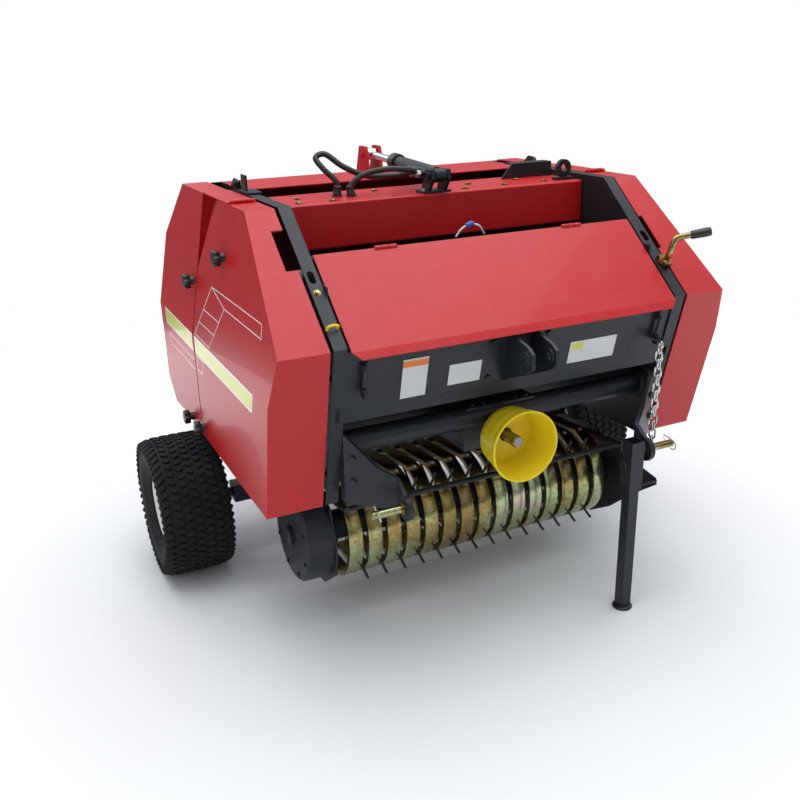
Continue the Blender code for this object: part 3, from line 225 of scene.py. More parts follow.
@dataclass(frozen=True)
class Finish:
    """A surface finish, and how it varies over the surface."""

    label: str
    colour: Colour
    second: Colour
    roughness: float
    spread: float = 0.06
    metallic: float = 0.0
    coat: float = 0.0
    coat_roughness: float = 0.04
    shine: float = 0.5
    patch: float = 5.0
    contrast: float = 1.2
    bump: float = 0.04
    bump_scale: float = 420.0
    dust: float = 0.10
    chips: float = 0.0
    under: Colour = (0.20, 0.19, 0.18)
    sheen: bool = False
    slot: str = ""

    def colour_of(self, graph: Graph, mask: bpy.types.NodeSocket) -> bpy.types.NodeSocket:
        """Mixes the finish's own colours.

        Args:
            graph: The material's graph.
            mask: Patches over the surface.

        Returns:
            The colour's socket.
        """
        if not self.sheen:
            return graph.mix(mask, self.colour, self.second)
        ramp = graph.add("ShaderNodeValToRGB")
        stops = ((0.0, self.colour), (0.34, self.second), (0.50, self.colour), (0.64, (0.36, 0.46, 0.24)),
                 (0.80, (0.62, 0.34, 0.38)), (1.0, self.colour))
        while len(ramp.color_ramp.elements) < len(stops):
            ramp.color_ramp.elements.new(0.5)
        for element, (place, colour) in zip(ramp.color_ramp.elements, stops):
            element.position = place
            element.color = (*colour, 1.0)
        graph.join(mask, ramp.inputs[0])
        return ramp.outputs[0]

    def material(self) -> bpy.types.Material:
        """Builds the material once, or returns the one already built."""
        if self.label in bpy.data.materials:
            return bpy.data.materials[self.label]
        made = bpy.data.materials.new(self.label)
        made.use_nodes = True
        graph = Graph(made.node_tree)
        surface = next(node for node in graph.tree.nodes if node.type == "BSDF_PRINCIPLED")
        uneven = graph.add("ShaderNodeGroup", node_tree=mottle_group())
        uneven.inputs["Scale"].default_value = self.patch
        uneven.inputs["Contrast"].default_value = self.contrast
        settled = graph.add("ShaderNodeGroup", node_tree=dust_group())
        settled.inputs["Amount"].default_value = self.dust
        chips = graph.add("ShaderNodeGroup", node_tree=speck_group())
        chips.inputs["Amount"].default_value = self.chips
        colour = self.colour_of(graph, uneven.outputs["Mask"])
        colour = graph.mix(chips.outputs["Mask"], colour, self.under)
        colour = graph.mix(settled.outputs["Mask"], colour, (0.36, 0.33, 0.29))
        graph.join(colour, surface.inputs["Base Color"])
        rough = graph.math("MULTIPLY_ADD", uneven.outputs["Grain"], self.spread)
        rough.node.inputs[2].default_value = self.roughness - self.spread / 2
        graph.join(graph.math("ADD", rough, graph.math("MULTIPLY", settled.outputs["Mask"], 0.5)),
                   surface.inputs["Roughness"])
        place = graph.add("ShaderNodeTexCoord")
        ripple = graph.add("ShaderNodeTexNoise", {"Scale": self.bump_scale, "Detail": 2.0})
        graph.join(place.outputs["Object"], ripple.inputs["Vector"])
        bump = graph.add("ShaderNodeBump", {"Strength": self.bump, "Distance": 0.002})
        graph.join(ripple.outputs[0], bump.inputs["Height"])
        graph.join(bump.outputs[0], surface.inputs["Normal"])
        surface.inputs["Metallic"].default_value = self.metallic
        surface.inputs["Specular IOR Level"].default_value = self.shine
        surface.inputs["Coat Weight"].default_value = self.coat
        surface.inputs["Coat Roughness"].default_value = self.coat_roughness
        return made


class Dress(Enum):
    """The finishes on the machine."""

    RED = Finish("red gloss paint", (0.52, 0.009, 0.012), (0.47, 0.008, 0.011), 0.38, coat=0.12, shine=0.34,
                 bump=0.035,
                 bump_scale=260.0, dust=0.05, chips=0.25, slot="red_paint")
    CHARCOAL = Finish("charcoal paint", (0.0085, 0.0115, 0.0150), (0.0125, 0.0165, 0.0210), 0.42, coat=0.05,
                      shine=0.34,
                      coat_roughness=0.16, bump=0.07, bump_scale=200.0, dust=0.05, chips=0.5,
                      slot="charcoal_paint")
    CAST = Finish("cast housing paint", (0.010, 0.013, 0.017), (0.018, 0.022, 0.028), 0.48, bump=0.35,
                  bump_scale=110.0, dust=0.14, chips=0.4, slot="charcoal_paint")
    GUARD = Finish("yellow moulded plastic", (0.86, 0.66, 0.010), (0.80, 0.58, 0.008), 0.42, spread=0.10,
                   bump=0.06, bump_scale=160.0, dust=0.06, slot="yellow_plastic")
    YELLOW_ZINC = Finish("yellow zinc plating", (0.30, 0.20, 0.065), (0.19, 0.155, 0.07), 0.25, spread=0.08,
                         metallic=1.0, patch=3.2, contrast=1.6, bump=0.015, dust=0.02, sheen=True,
                         slot="yellow_zinc")
    BRIGHT_ZINC = Finish("bright zinc plating", (0.68, 0.68, 0.66), (0.50, 0.51, 0.52), 0.30, spread=0.14,
                         metallic=1.0, patch=16.0, contrast=2.0, dust=0.04, slot="bright_zinc")
    STEEL = Finish("oiled steel", (0.30, 0.295, 0.285), (0.18, 0.175, 0.17), 0.42, spread=0.2, metallic=1.0,
                   patch=9.0, contrast=2.0, bump=0.12, dust=0.10, slot="bare_steel")
    DARK_STEEL = Finish("spring steel", (0.055, 0.055, 0.06), (0.09, 0.085, 0.08), 0.40, spread=0.15,
                        metallic=0.8,
                        patch=9.0, dust=0.08, slot="charcoal_paint")
    CHROME = Finish("hard chrome", (0.86, 0.86, 0.87), (0.78, 0.79, 0.80), 0.10, spread=0.05, metallic=1.0,
                    patch=8.0, bump=0.01, dust=0.02, slot="chrome")
    WHITE = Finish("white paint", (0.78, 0.78, 0.76), (0.70, 0.70, 0.68), 0.36, coat=0.2, dust=0.14,
                   chips=0.3,
                   slot="white_paint")
    TYRE = Finish("turf tyre rubber", (0.0048, 0.0058, 0.0066), (0.0085, 0.0095, 0.0105), 0.74, shine=0.25,
                  spread=0.16, patch=10.0,
                  bump=0.22, bump_scale=240.0, dust=0.06, slot="tyre")
    HOSE = Finish("hose rubber", (0.010, 0.010, 0.011), (0.018, 0.018, 0.019), 0.46, bump=0.2,
                  bump_scale=900.0,
                  dust=0.05, slot="hose_rubber")
    KNOB = Finish("black moulded plastic", (0.011, 0.011, 0.012), (0.017, 0.017, 0.018), 0.38, bump=0.08,
                  bump_scale=300.0, dust=0.05, slot="charcoal_paint")
    BAND = Finish("yellow-green stripe film", (0.66, 0.64, 0.05), (0.60, 0.60, 0.045), 0.30, coat=0.2,
                  bump=0.01,
                  dust=0.03, slot="yellow_plastic")
    FILM = Finish("white stripe film", (0.84, 0.83, 0.80), (0.78, 0.77, 0.74), 0.32, coat=0.2, bump=0.01,
                  dust=0.03,
                  slot="white_paint")
    PLATE = Finish("blank plate", (0.62, 0.63, 0.62), (0.55, 0.56, 0.56), 0.34, metallic=0.2, bump=0.02,
                   dust=0.05,
                   slot="white_paint")
    ORANGE = Finish("orange edge of a plate", (0.80, 0.20, 0.02), (0.74, 0.17, 0.02), 0.36, dust=0.04,
                    slot="yellow_plastic")
    CORD = Finish("white cable sleeve", (0.66, 0.66, 0.64), (0.58, 0.58, 0.56), 0.5, dust=0.06,
                  slot="white_paint")
    BLUE = Finish("blue plug", (0.02, 0.10, 0.42), (0.02, 0.08, 0.34), 0.4, dust=0.04, slot="charcoal_paint")
    GREEN = Finish("pale green pad", (0.40, 0.52, 0.38), (0.36, 0.46, 0.34), 0.5, dust=0.06,
                   slot="white_paint")


# ------------------------------------------------------------------ mesh making
def thing_of(name: str, mesh: bpy.types.Mesh) -> bpy.types.Object:
    """Links a new object that holds a mesh, at the origin."""
    made = bpy.data.objects.new(name, mesh)
    bpy.context.scene.collection.objects.link(made)
    return made


def mesh_of(shape: bmesh.types.BMesh, name: str) -> bpy.types.Mesh:
    """Turns a bmesh into a mesh whose faces point outwards, and frees the bmesh."""
    bmesh.ops.remove_doubles(shape, verts=shape.verts, dist=1e-6)
    bmesh.ops.recalc_face_normals(shape, faces=shape.faces)
    mesh = bpy.data.meshes.new(name)
    shape.to_mesh(mesh)
    shape.free()
    return mesh


def soften(thing: bpy.types.Object, width: float, segments: int = 2, angle: float = 32.0) -> bpy.types.Object:
    """Rounds a piece's edges and evens its shading.

    Args:
        thing: The piece.
        width: Width of the rounding, or 0 for none.
        segments: Steps across the rounding.
        angle: Edges sharper than this, in degrees, are rounded.

    Returns:
        The same piece.
    """
    thing.data.shade_smooth()
    thing.data.set_sharp_from_angle(angle=math.radians(angle))
    if width > 0:
        bevel = thing.modifiers.new("rounding", "BEVEL")
        bevel.width, bevel.segments = width, segments
        bevel.limit_method, bevel.angle_limit = "ANGLE", math.radians(angle)
        bevel.use_clamp_overlap = True
        bevel.harden_normals = True
    return thing


def put(thing: bpy.types.Object, body: str, dress: Dress, nodes: Iterable[str] = ()) -> bpy.types.Object:
    """Gives a piece its finish and its body, and hides the CAD nodes that it stands for.

    Args:
        thing: The piece.
        body: CAD body that it moves with.
        dress: Its finish.
        nodes: CAD nodes that it replaces.

    Returns:
        The same piece.
    """
    finish: Finish = dress.value
    thing.data.materials.clear()
    thing.data.materials.append(finish.material())
    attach(thing, body)
    names = list(nodes)
    if names:
        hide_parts(*names)
    log.info("%s on %s, %s", thing.name, body, finish.label)
    return thing


def block(name: str, low: Sequence[float], high: Sequence[float]) -> bpy.types.Object:
    """A rectangular bar between two corners."""
    shape = bmesh.new()
    bmesh.ops.create_cube(shape, size=1.0)
    low_v, high_v = Vector(low), Vector(high)
    for vert in shape.verts:
        vert.co = Vector((low_v[i] + (vert.co[i] + 0.5) * (high_v[i] - low_v[i]) for i in range(3)))
    return thing_of(name, mesh_of(shape, name))


def slab(name: str, outline: Sequence[Vector], thickness: Vector) -> bpy.types.Object:
    """A flat outline given a thickness.

    Args:
        name: The piece's name.
        outline: Corners in order.
        thickness: Step from the first face to the second.

    Returns:
        The piece.
    """
    shape = bmesh.new()
    first = [shape.verts.new(point) for point in outline]
    second = [shape.verts.new(Vector(point) + thickness) for point in outline]
    shape.faces.new(first)
    shape.faces.new(second[::-1])
    for k in range(len(first)):
        j = (k + 1) % len(first)
        shape.faces.new((first[k], first[j], second[j], second[k]))
    return thing_of(name, mesh_of(shape, name))


def lathe(name: str, profile: Sequence[tuple[float, float]], centre: Sequence[float], axis: Vector,
          segments: int = 64) -> bpy.types.Object:
    """Turns a profile round an axis.

    Args:
        name: The piece's name.
        profile: Pairs of radius and distance along the axis, closed end to end.
        centre: Where the distance is 0.
        axis: Direction of the axis.
        segments: Steps round.

    Returns:
        The piece.
    """
    shape = bmesh.new()
    turn = Vector((0, 0, 1)).rotation_difference(axis.normalized()).to_matrix().to_4x4()
    turn = Matrix.Translation(Vector(centre)) @ turn
    rings = []
    for radius, along in profile:
        if radius <= 0:
            rings.append([shape.verts.new(turn @ Vector((0, 0, along)))] * segments)
            continue
        rings.append([shape.verts.new(turn @ Vector((radius * math.cos(TAU * k / segments),
                                                     radius * math.sin(TAU * k / segments), along)))
                      for k in range(segments)])
    closed = profile[0][0] > 0 and profile[-1][0] > 0
    for a, b in zip(rings, rings[1:] + rings[:1] if closed else rings[1:]):
        for k in range(segments):
            j = (k + 1) % segments
            corners = list(dict.fromkeys((a[k], a[j], b[j], b[k])))
            if len(corners) > 2:
                shape.faces.new(corners)
    return thing_of(name, mesh_of(shape, name))


def pipe(name: str, path: Sequence[Vector], radius: float, sides: int = 12) -> bpy.types.Object:
    """A round bar along a path, with closed ends.

    Args:
        name: The piece's name.
        path: Points on its centre line.
        radius: Its radius.
        sides: Steps round.

    Returns:
        The piece.
    """
    shape = bmesh.new()
    rings: list[list[bmesh.types.BMVert]] = []
    points = [Vector(point) for point in path]
    side = None
    for k, point in enumerate(points):
        ahead = (points[min(k + 1, len(points) - 1)] - points[max(k - 1, 0)]).normalized()
        if side is None:
            side = ahead.orthogonal().normalized()
        side = (side - ahead * side.dot(ahead)).normalized()
        other = ahead.cross(side)
        rings.append([shape.verts.new(point + (side * math.cos(TAU * s / sides) + other * math.sin(TAU * s / sides))
                                      * radius) for s in range(sides)])
    for a, b in zip(rings, rings[1:]):
        for s in range(sides):
            t = (s + 1) % sides
            shape.faces.new((a[s], a[t], b[t], b[s]))
    shape.faces.new(rings[0][::-1])
    shape.faces.new(rings[-1])
    return thing_of(name, mesh_of(shape, name))


def rounded(points: Sequence[Sequence[float]], steps: int = 6) -> list[Vector]:
    """Points of a smooth curve through given points.

    Args:
        points: The points it passes through.
        steps: Steps between two of them.

    Returns:
        The curve's points.
    """
    spots = [Vector(point) for point in points]
    ends = [spots[0] * 2 - spots[1]] + spots + [spots[-1] * 2 - spots[-2]]
    path = []
    for a, b, c, d in zip(ends, ends[1:], ends[2:], ends[3:]):
        for k in range(steps):
            t = k / steps
            path.append(0.5 * (2 * b + (c - a) * t + (2 * a - 5 * b + 4 * c - d) * t * t
                               + (3 * b - a - 3 * c + d) * t ** 3))
    path.append(spots[-1])
    return path


def joined(name: str, things: Sequence[bpy.types.Object]) -> bpy.types.Object:
    """Makes several pieces one object."""
    shape = bmesh.new()
    for thing in things:
        shape.from_mesh(thing.data)
        bpy.data.objects.remove(thing)
    mesh = bpy.data.meshes.new(name)
    shape.to_mesh(mesh)
    shape.free()
    return thing_of(name, mesh)


def cad_copy(node: str) -> bpy.types.Object:
    """A clean copy of a CAD node: its loose triangles merged, and its flat faces made whole."""
    source = bpy.data.objects[node]
    shape = bmesh.new()
    shape.from_mesh(source.data)
    bmesh.ops.remove_doubles(shape, verts=shape.verts, dist=2e-6)
    bmesh.ops.dissolve_limit(shape, angle_limit=math.radians(0.4), verts=shape.verts, edges=shape.edges)
    mesh = bpy.data.meshes.new(node + "_skin")
    shape.to_mesh(mesh)
    shape.free()
    return thing_of(node + "_skin", mesh)


class Skin:
    """Finds the outer surface of CAD nodes, so that small pieces sit on it."""

    def __init__(self, *nodes: str) -> None:
        """Reads the nodes' meshes."""
        self.trees: list[BVHTree] = []
        for node in nodes:
            mesh = bpy.data.objects[node].data
            self.trees.append(BVHTree.FromPolygons([v.co for v in mesh.vertices],
                                                   [p.vertices for p in mesh.polygons]))

    def hit(self, start: Sequence[float], way: Sequence[float]) -> tuple[Vector, Vector]:
        """First point that a ray meets.

        Args:
            start: Where the ray begins, in metres.
            way: Its direction.

        Returns:
            The point, and the surface's outward direction there.
        """
        found = []
        way_v = Vector(way).normalized()
        for tree in self.trees:
            point, normal, _, distance = tree.ray_cast(Vector(start), way_v)
            if point is not None:
                found.append((distance, point, normal if normal.dot(way_v) < 0 else -normal))
        if not found:
            return Vector(start) + way_v * 0.5, -way_v
        return min(found, key=lambda item: item[0])[1:]


# ------------------------------------------------------------------ what repeats
class Pattern:
    """Geometry Nodes tree that sets a shape at each point, turned as the point says."""

    NAME = "shape at each point"

    def __init__(self) -> None:
        """Builds the tree once."""
        self.tree = bpy.data.node_groups.get(self.NAME) or self.build()

    def build(self) -> bpy.types.NodeTree:
        """Builds the tree: points, their turn, the instances, then plain geometry with its finish."""
        tree = bpy.data.node_groups.new(self.NAME, "GeometryNodeTree")
        face = tree.interface
        face.new_socket("Points", in_out="INPUT", socket_type="NodeSocketGeometry")
        face.new_socket("Shape", in_out="INPUT", socket_type="NodeSocketObject")
        face.new_socket("Size", in_out="INPUT", socket_type="NodeSocketFloat").default_value = 1.0
        face.new_socket("Finish", in_out="INPUT", socket_type="NodeSocketMaterial")
        face.new_socket("Made", in_out="OUTPUT", socket_type="NodeSocketGeometry")
        graph = Graph(tree)
        start, end = graph.add("NodeGroupInput"), graph.add("NodeGroupOutput")
        info = graph.add("GeometryNodeObjectInfo")
        turn = graph.add("GeometryNodeInputNamedAttribute", {"Name": "turn"}, data_type="FLOAT_VECTOR")
        size = graph.add("GeometryNodeInputNamedAttribute", {"Name": "size"}, data_type="FLOAT_VECTOR")
        scale = graph.add("ShaderNodeVectorMath", operation="SCALE")
        angle = graph.add("FunctionNodeEulerToRotation")
        places = graph.add("GeometryNodeInstanceOnPoints")
        real = graph.add("GeometryNodeRealizeInstances")
        finish = graph.add("GeometryNodeSetMaterial")
        graph.join(start.outputs["Shape"], info.inputs["Object"])
        graph.join(start.outputs["Points"], places.inputs["Points"])
        graph.join(info.outputs["Geometry"], places.inputs["Instance"])
        graph.join(turn.outputs["Attribute"], angle.inputs[0])
        graph.join(angle.outputs[0], places.inputs["Rotation"])
        graph.join(size.outputs["Attribute"], scale.inputs[0])
        graph.join(start.outputs["Size"], scale.inputs["Scale"])
        graph.join(scale.outputs["Vector"], places.inputs["Scale"])
        graph.join(places.outputs[0], real.inputs[0])
        graph.join(real.outputs[0], finish.inputs["Geometry"])
        graph.join(start.outputs["Finish"], finish.inputs["Material"])
        graph.join(finish.outputs[0], end.inputs[0])
        return tree

    def identifier(self, label: str) -> str:
        """The identifier of an input socket."""
        return next(item.identifier for item in self.tree.interface.items_tree
                    if item.item_type == "SOCKET" and item.in_out == "INPUT" and item.name == label)

    def lay(self, name: str, shape: bpy.types.Object, places: Sequence[Matrix], body: str, dress: Dress,
            size: float = 1.0, nodes: Iterable[str] = (), angle: float = 35.0) -> bpy.types.Object:
        """Sets the shape at each place and bakes the result into one plain piece.

        Args:
            name: The piece's name.
            shape: What is repeated. It is removed afterwards.
            places: Place, turn and scale of each copy.
            body: CAD body that the piece moves with.
            dress: Its finish.
            size: Scale that all copies share.
            nodes: CAD nodes that the piece replaces.
            angle: Edges sharper than this, in degrees, stay sharp.

        Returns:
            The baked piece.
        """
        mesh = bpy.data.meshes.new(name + "_points")
        mesh.from_pydata([tuple(place.translation) for place in places], [], [])
        turn = mesh.attributes.new("turn", "FLOAT_VECTOR", "POINT")
        scale = mesh.attributes.new("size", "FLOAT_VECTOR", "POINT")
        for k, place in enumerate(places):
            turn.data[k].vector = tuple(place.to_euler())
            scale.data[k].vector = tuple(place.to_scale())
        holder = thing_of(name, mesh)
        modifier = holder.modifiers.new("pattern", "NODES")
        modifier.node_group = self.tree
        modifier[self.identifier("Shape")] = shape
        modifier[self.identifier("Size")] = size
        modifier[self.identifier("Finish")] = dress.value.material()
        shape.data.shade_smooth()
        shape.data.set_sharp_from_angle(angle=math.radians(angle))
        bpy.context.view_layer.update()
        graph = bpy.context.evaluated_depsgraph_get()
        baked = bpy.data.meshes.new_from_object(holder.evaluated_get(graph), depsgraph=graph)
        holder.modifiers.remove(modifier)
        holder.data = baked
        bpy.data.objects.remove(shape)
        return put(holder, body, dress, nodes)


def facing(point: Sequence[float], out: Sequence[float], up: Sequence[float] = (0, 0, 1), spin: float = 0.0,
           size: Sequence[float] = (1, 1, 1)) -> Matrix:
    """Place whose local Z points out.

    Args:
        point: Its position.
        out: Direction of its local Z.
        up: Direction that its local Y leans to.
        spin: Turn about its local Z, in radians.
        size: Scale along its own axes.

    Returns:
        The place as a matrix.
    """
    z = Vector(out).normalized()
    x = Vector(up).cross(z)
    x = x.normalized() if x.length > 1e-4 else z.orthogonal().normalized()
    y = z.cross(x)
    turn = Matrix((x, y, z)).transposed().to_4x4()
    placed = Matrix.Translation(Vector(point)) @ turn
    return placed @ Matrix.Rotation(spin, 4, "Z") @ Matrix.Diagonal((*size, 1.0))


def hex_bolt(radius: float = 0.009, height: float = 0.007) -> bpy.types.Object:
    """A hexagon head on its washer, its seat at 0 and its head up Z."""
    washer = lathe("washer", [(0, -0.001), (radius * 1.35, -0.001), (radius * 1.35, 0.0012), (0, 0.0012)],
                   (0, 0, 0), Vector((0, 0, 1)), 20)
    head = lathe("head", [(0, 0.0008), (radius, 0.0008), (radius, height - 0.0012), (radius * 0.86, height),
                          (0, height)], (0, 0, 0), Vector((0, 0, 1)), 6)
    return joined("bolt", [washer, head])


# ------------------------------------------------------------------ the frame
@dataclass
class Datum:
    """Reference places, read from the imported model."""

    bend: float = 0.0
    top: float = 0.0

    @classmethod
    def read(cls) -> Datum:
        """Reads the front bend and the top of the side frames."""
        low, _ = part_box("side_frame_left")
        return cls(bend=low.y, top=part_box("top_beam")[1].z)

    def back(self, distance: float) -> float:
        """Y of a point so far behind the front bend."""
        return self.bend + distance


class Assembly:
    """Part of the machine that dresses its CAD nodes and adds its small pieces."""

    def __init__(self, datum: Datum, pattern: Pattern) -> None:
        """Keeps the reference places and the tree for what repeats."""
        self.datum = datum
        self.pattern = pattern

    def keep(self, node: str, body: str, dress: Dress, width: float = 0.0012,
             segments: int = 2) -> bpy.types.Object:
        """Shows a clean, rounded copy of a CAD node.

        Args:
            node: The CAD node.
            body: Its body.
            dress: Its finish.
            width: Width of its rounded edges.
            segments: Steps across them.

        Returns:
            The copy.
        """
        return put(soften(cad_copy(node), width, segments), body, dress, [node])

    def bolts(self, name: str, places: Sequence[Matrix], body: str, dress: Dress, radius: float = 0.009,
              height: float = 0.007) -> bpy.types.Object:
        """Sets bolt heads at the given places."""
        return self.pattern.lay(name, hex_bolt(radius, height), places, body, dress)


@dataclass
class Chassis(Assembly):
    """Side frames, front panel, hitch, cross tube, axle and the small things on them."""

    datum: Datum
    pattern: Pattern
    bolt: float = 0.008
    hoop: float = 0.0035

    def build(self) -> None:
        """Builds the chassis."""
        for name, side in SIDES:
            self.keep("side_frame_" + name, "frame", Dress.CHARCOAL, 0.0010)
            self.keep("hitch_plate_" + name, "frame", Dress.CHARCOAL, 0.0018)
            self.pin(name, side)
        self.keep("front_panel", "frame", Dress.CHARCOAL, 0.0016)
        self.keep("axle_beam", "frame", Dress.CHARCOAL, 0.0025)
        self.keep("left_lug", "frame", Dress.CHARCOAL, 0.0010)
        self.tube()
        self.panel_fittings()
        self.flange_fittings()

    def pin(self, name: str, side: int) -> None:
        """Hitch pin with its collar, and a clip through its end."""
        low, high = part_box("lower_pin_" + name)
        centre = Vector((0, (low.y + high.y) / 2, (low.z + high.z) / 2))
        inner, outer = (low.x, high.x) if side > 0 else (-high.x, -low.x)
        body = inner + 0.0125
        radius, nut = 0.0109, (high.z - low.z) / 2
        profile = [(0, inner), (0.0088, inner), (0.0088, body - 0.003), (nut * 0.98, body - 0.003),
                   (nut * 0.98, body),
                   (radius, body), (radius, body + 0.0155), (nut, body + 0.0158), (nut, body + 0.0215),
                   (radius, body + 0.0222), (radius, outer - 0.003), (radius - 0.003, outer), (0, outer)]
        pin = lathe(f"hitch_pin_{name}", profile, (0, centre.y, centre.z), Vector((side, 0, 0)), 32)
        put(soften(pin, 0), "frame", Dress.YELLOW_ZINC, ["lower_pin_" + name])
        x = side * (outer - 0.018)
        loop = [Vector((x, centre.y + 0.020, centre.z + 0.014)), Vector((x, centre.y, centre.z + 0.001)),
                Vector((x, centre.y - 0.016, centre.z - 0.010)),
                Vector((x + side * 0.004, centre.y - 0.028, centre.z - 0.006)),
                Vector((x + side * 0.006, centre.y - 0.024, centre.z + 0.010)),
                Vector((x + side * 0.004, centre.y - 0.006, centre.z + 0.0165)),
                Vector((x, centre.y + 0.018, centre.z + 0.022))]
        put(soften(pipe(f"pin_clip_{name}", rounded(loop, 5), 0.0018, 8), 0), "frame", Dress.BRIGHT_ZINC)

    def tube(self) -> None:
        """Cross tube with welded end rings and the hanger's bolts, and a thin dark sheet across the chamber's front
        as painted shade.
        """
        self.keep("cross_tube", "frame", Dress.CHARCOAL, 0.0020)
        # Thin charcoal sheet from wall to wall at the chamber's front: painted shade for the dark inside of the
        # chamber seen behind the pickup's bands.
        wall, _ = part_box("frame_roller_1")
        back = self.datum.back(0.345)
        sheet = block("chamber_sheet", (wall.x + 0.002, back, 0.530), (-wall.x - 0.002, back + 0.003, 0.788))
        put(soften(sheet, 0.0004), "frame", Dress.CHARCOAL)
        low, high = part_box("cross_tube")
        radius = 0.030
        centre = Vector((0, low.y + radius, low.z + radius))
        rings = []
        for side in (-1, 1):
            x = side * (high.x - 0.0005)
            profile = [(radius - 0.001, 0.0), (radius + 0.016, 0.0), (radius + 0.016, 0.009),
                       (radius + 0.006, 0.012),
                       (radius - 0.001, 0.016)]
            rings.append(lathe("ring", profile, (x, centre.y, centre.z), Vector((-side, 0, 0)), 48))
        put(soften(joined("tube_end_rings", rings), 0.0008), "frame", Dress.CHARCOAL)
        places = [facing((x, low.y + 0.002 + dy, high.z - 0.0002), (0, 0, 1))
                  for x in (-0.088, -0.052, 0.052, 0.088)
                  for dy in (0.024, 0.086)]
        self.bolts("hanger_bolts", places, "frame", Dress.CHARCOAL, 0.0075)

    def panel_fittings(self) -> None:
        """Blank plates, ear bolts and the two latches on the front panel."""
        skin = Skin("front_panel")
        way = (0, 1, 0)
        plates = [("plate_upright", -0.344, -0.272, 0.764, 0.876, True),
                  ("plate_small", -0.208, -0.112, 0.778, 0.838, False),
                  ("plate_wide", 0.168, 0.325, 0.776, 0.842, False)]
        for name, x0, x1, z0, z1, banded in plates:
            corners = [skin.hit((x, -2.0, z), way)[0] for x, z in ((x0, z0), (x1, z0), (x1, z1), (x0, z1))]
            out = skin.hit(((x0 + x1) / 2, -2.0, (z0 + z1) / 2), way)[1]
            plate = slab(name, [c + out * 0.0002 for c in corners], out * 0.0010)
            put(soften(plate, 0.0003), "frame", Dress.PLATE)
            if banded:
                high = [corners[3].lerp(corners[0], t) for t in (0.04, 0.20)]
                far = [corners[2].lerp(corners[1], t) for t in (0.04, 0.20)]
                band = slab(name + "_band", [p + out * 0.0013 for p in (high[1], far[1], far[0], high[0])],
                            out * 0.0002)
                put(band, "frame", Dress.ORANGE)
            if name == "plate_wide":
                patch = [corners[0].lerp(corners[1], a).lerp(corners[3].lerp(corners[2], a), b)
                         for a, b in ((0.05, 0.62), (0.28, 0.62), (0.28, 0.92), (0.05, 0.92))]
                put(slab(name + "_patch", [p + out * 0.0013 for p in patch], out * 0.0002), "frame",
                    Dress.BAND)
        latches, screws = [], []
        for side in (-1, 1):
            x = side * 0.455
            top, out = skin.hit((x, -2.0, 0.890), way)
            low, _ = skin.hit((x, -2.0, 0.815), way)
            run = (low - top).normalized()
            latches.append(slab("latch", [top + Vector((-0.011, 0, 0)), top + Vector((0.011, 0, 0)),
                                          low + Vector((0.007, 0, 0)),
                                          low + Vector((-0.007, 0, 0))], out * 0.005))
            bead = [top + out * 0.010 + run * 0.004, top + out * 0.016 + run * 0.018,
                    low + out * 0.014 - run * 0.010,
                    low + out * 0.024 + run * 0.008]
            latches.append(pipe("lever", rounded(bead, 4), 0.0055, 10))
            latches.append(lathe("eye", [(0.006, -0.005), (0.014, -0.005), (0.014, 0.005), (0.006, 0.005)],
                                 low + out * 0.020, Vector((1, 0, 0)), 20))
            screws.append(facing(top + out * 0.006 + run * 0.012, out))
        put(soften(joined("panel_latches", latches), 0.0006), "frame", Dress.CHARCOAL)
        places = screws + [facing(*skin.hit((x, -2.0, z), way)) for x in (-0.085, 0.085)
                           for z in (0.780, 0.885)]
        self.bolts("panel_bolts", places, "frame", Dress.CHARCOAL, self.bolt)
        low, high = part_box("front_panel")
        collars = []
        for side in (-1, 1):
            for way_x in (-1, 1):
                x = side * 0.036 + way_x * 0.0049
                collars.append(lathe("boss", [(0.0108, 0), (0.020, 0), (0.019, 0.0035), (0.0108, 0.0035)],
                                     (x, low.y + 0.030, 0.852), Vector((way_x, 0, 0)), 32))
        put(soften(joined("ear_bosses", collars), 0), "frame", Dress.CHARCOAL)
        for name, side in SIDES:
            plate = Skin("hitch_plate_" + name)
            spots = []
            for y, z in ((0.052, 0.560), (0.052, 0.625)):
                point, out = plate.hit((side * 2.0, self.datum.back(y), z), (-side, 0, 0))
                spots.append(facing(point, out))
            self.bolts(f"hitch_bolts_{name}", spots, "frame", Dress.CHARCOAL, 0.009)

    def flange_fittings(self) -> None:
        """Bolt and yellow hoop on the left side frame's front fold."""
        slope = Vector((0, 0.350, 0.292)).normalized()
        out = Vector((0, -slope.z, slope.y))
        skin = Skin("side_frame_left")
        point, _ = skin.hit((-0.520, self.datum.back(0.133), 2.0), (0, 0, -1))
        self.bolts("flange_bolt", [facing(point, out)], "frame", Dress.YELLOW_ZINC, 0.0065, 0.006)
        point, _ = skin.hit((-0.519, self.datum.back(0.047), 2.0), (0, 0, -1))
        across = Vector((1, 0, 0))
        hoop = [point - across * 0.014 - out * 0.001, point - across * 0.013 + out * 0.012,
                point + out * 0.017,
                point + across * 0.013 + out * 0.012, point + across * 0.014 - out * 0.001]
        put(soften(pipe("flange_hoop", rounded(hoop, 5), self.hoop, 8), 0), "frame", Dress.GUARD)


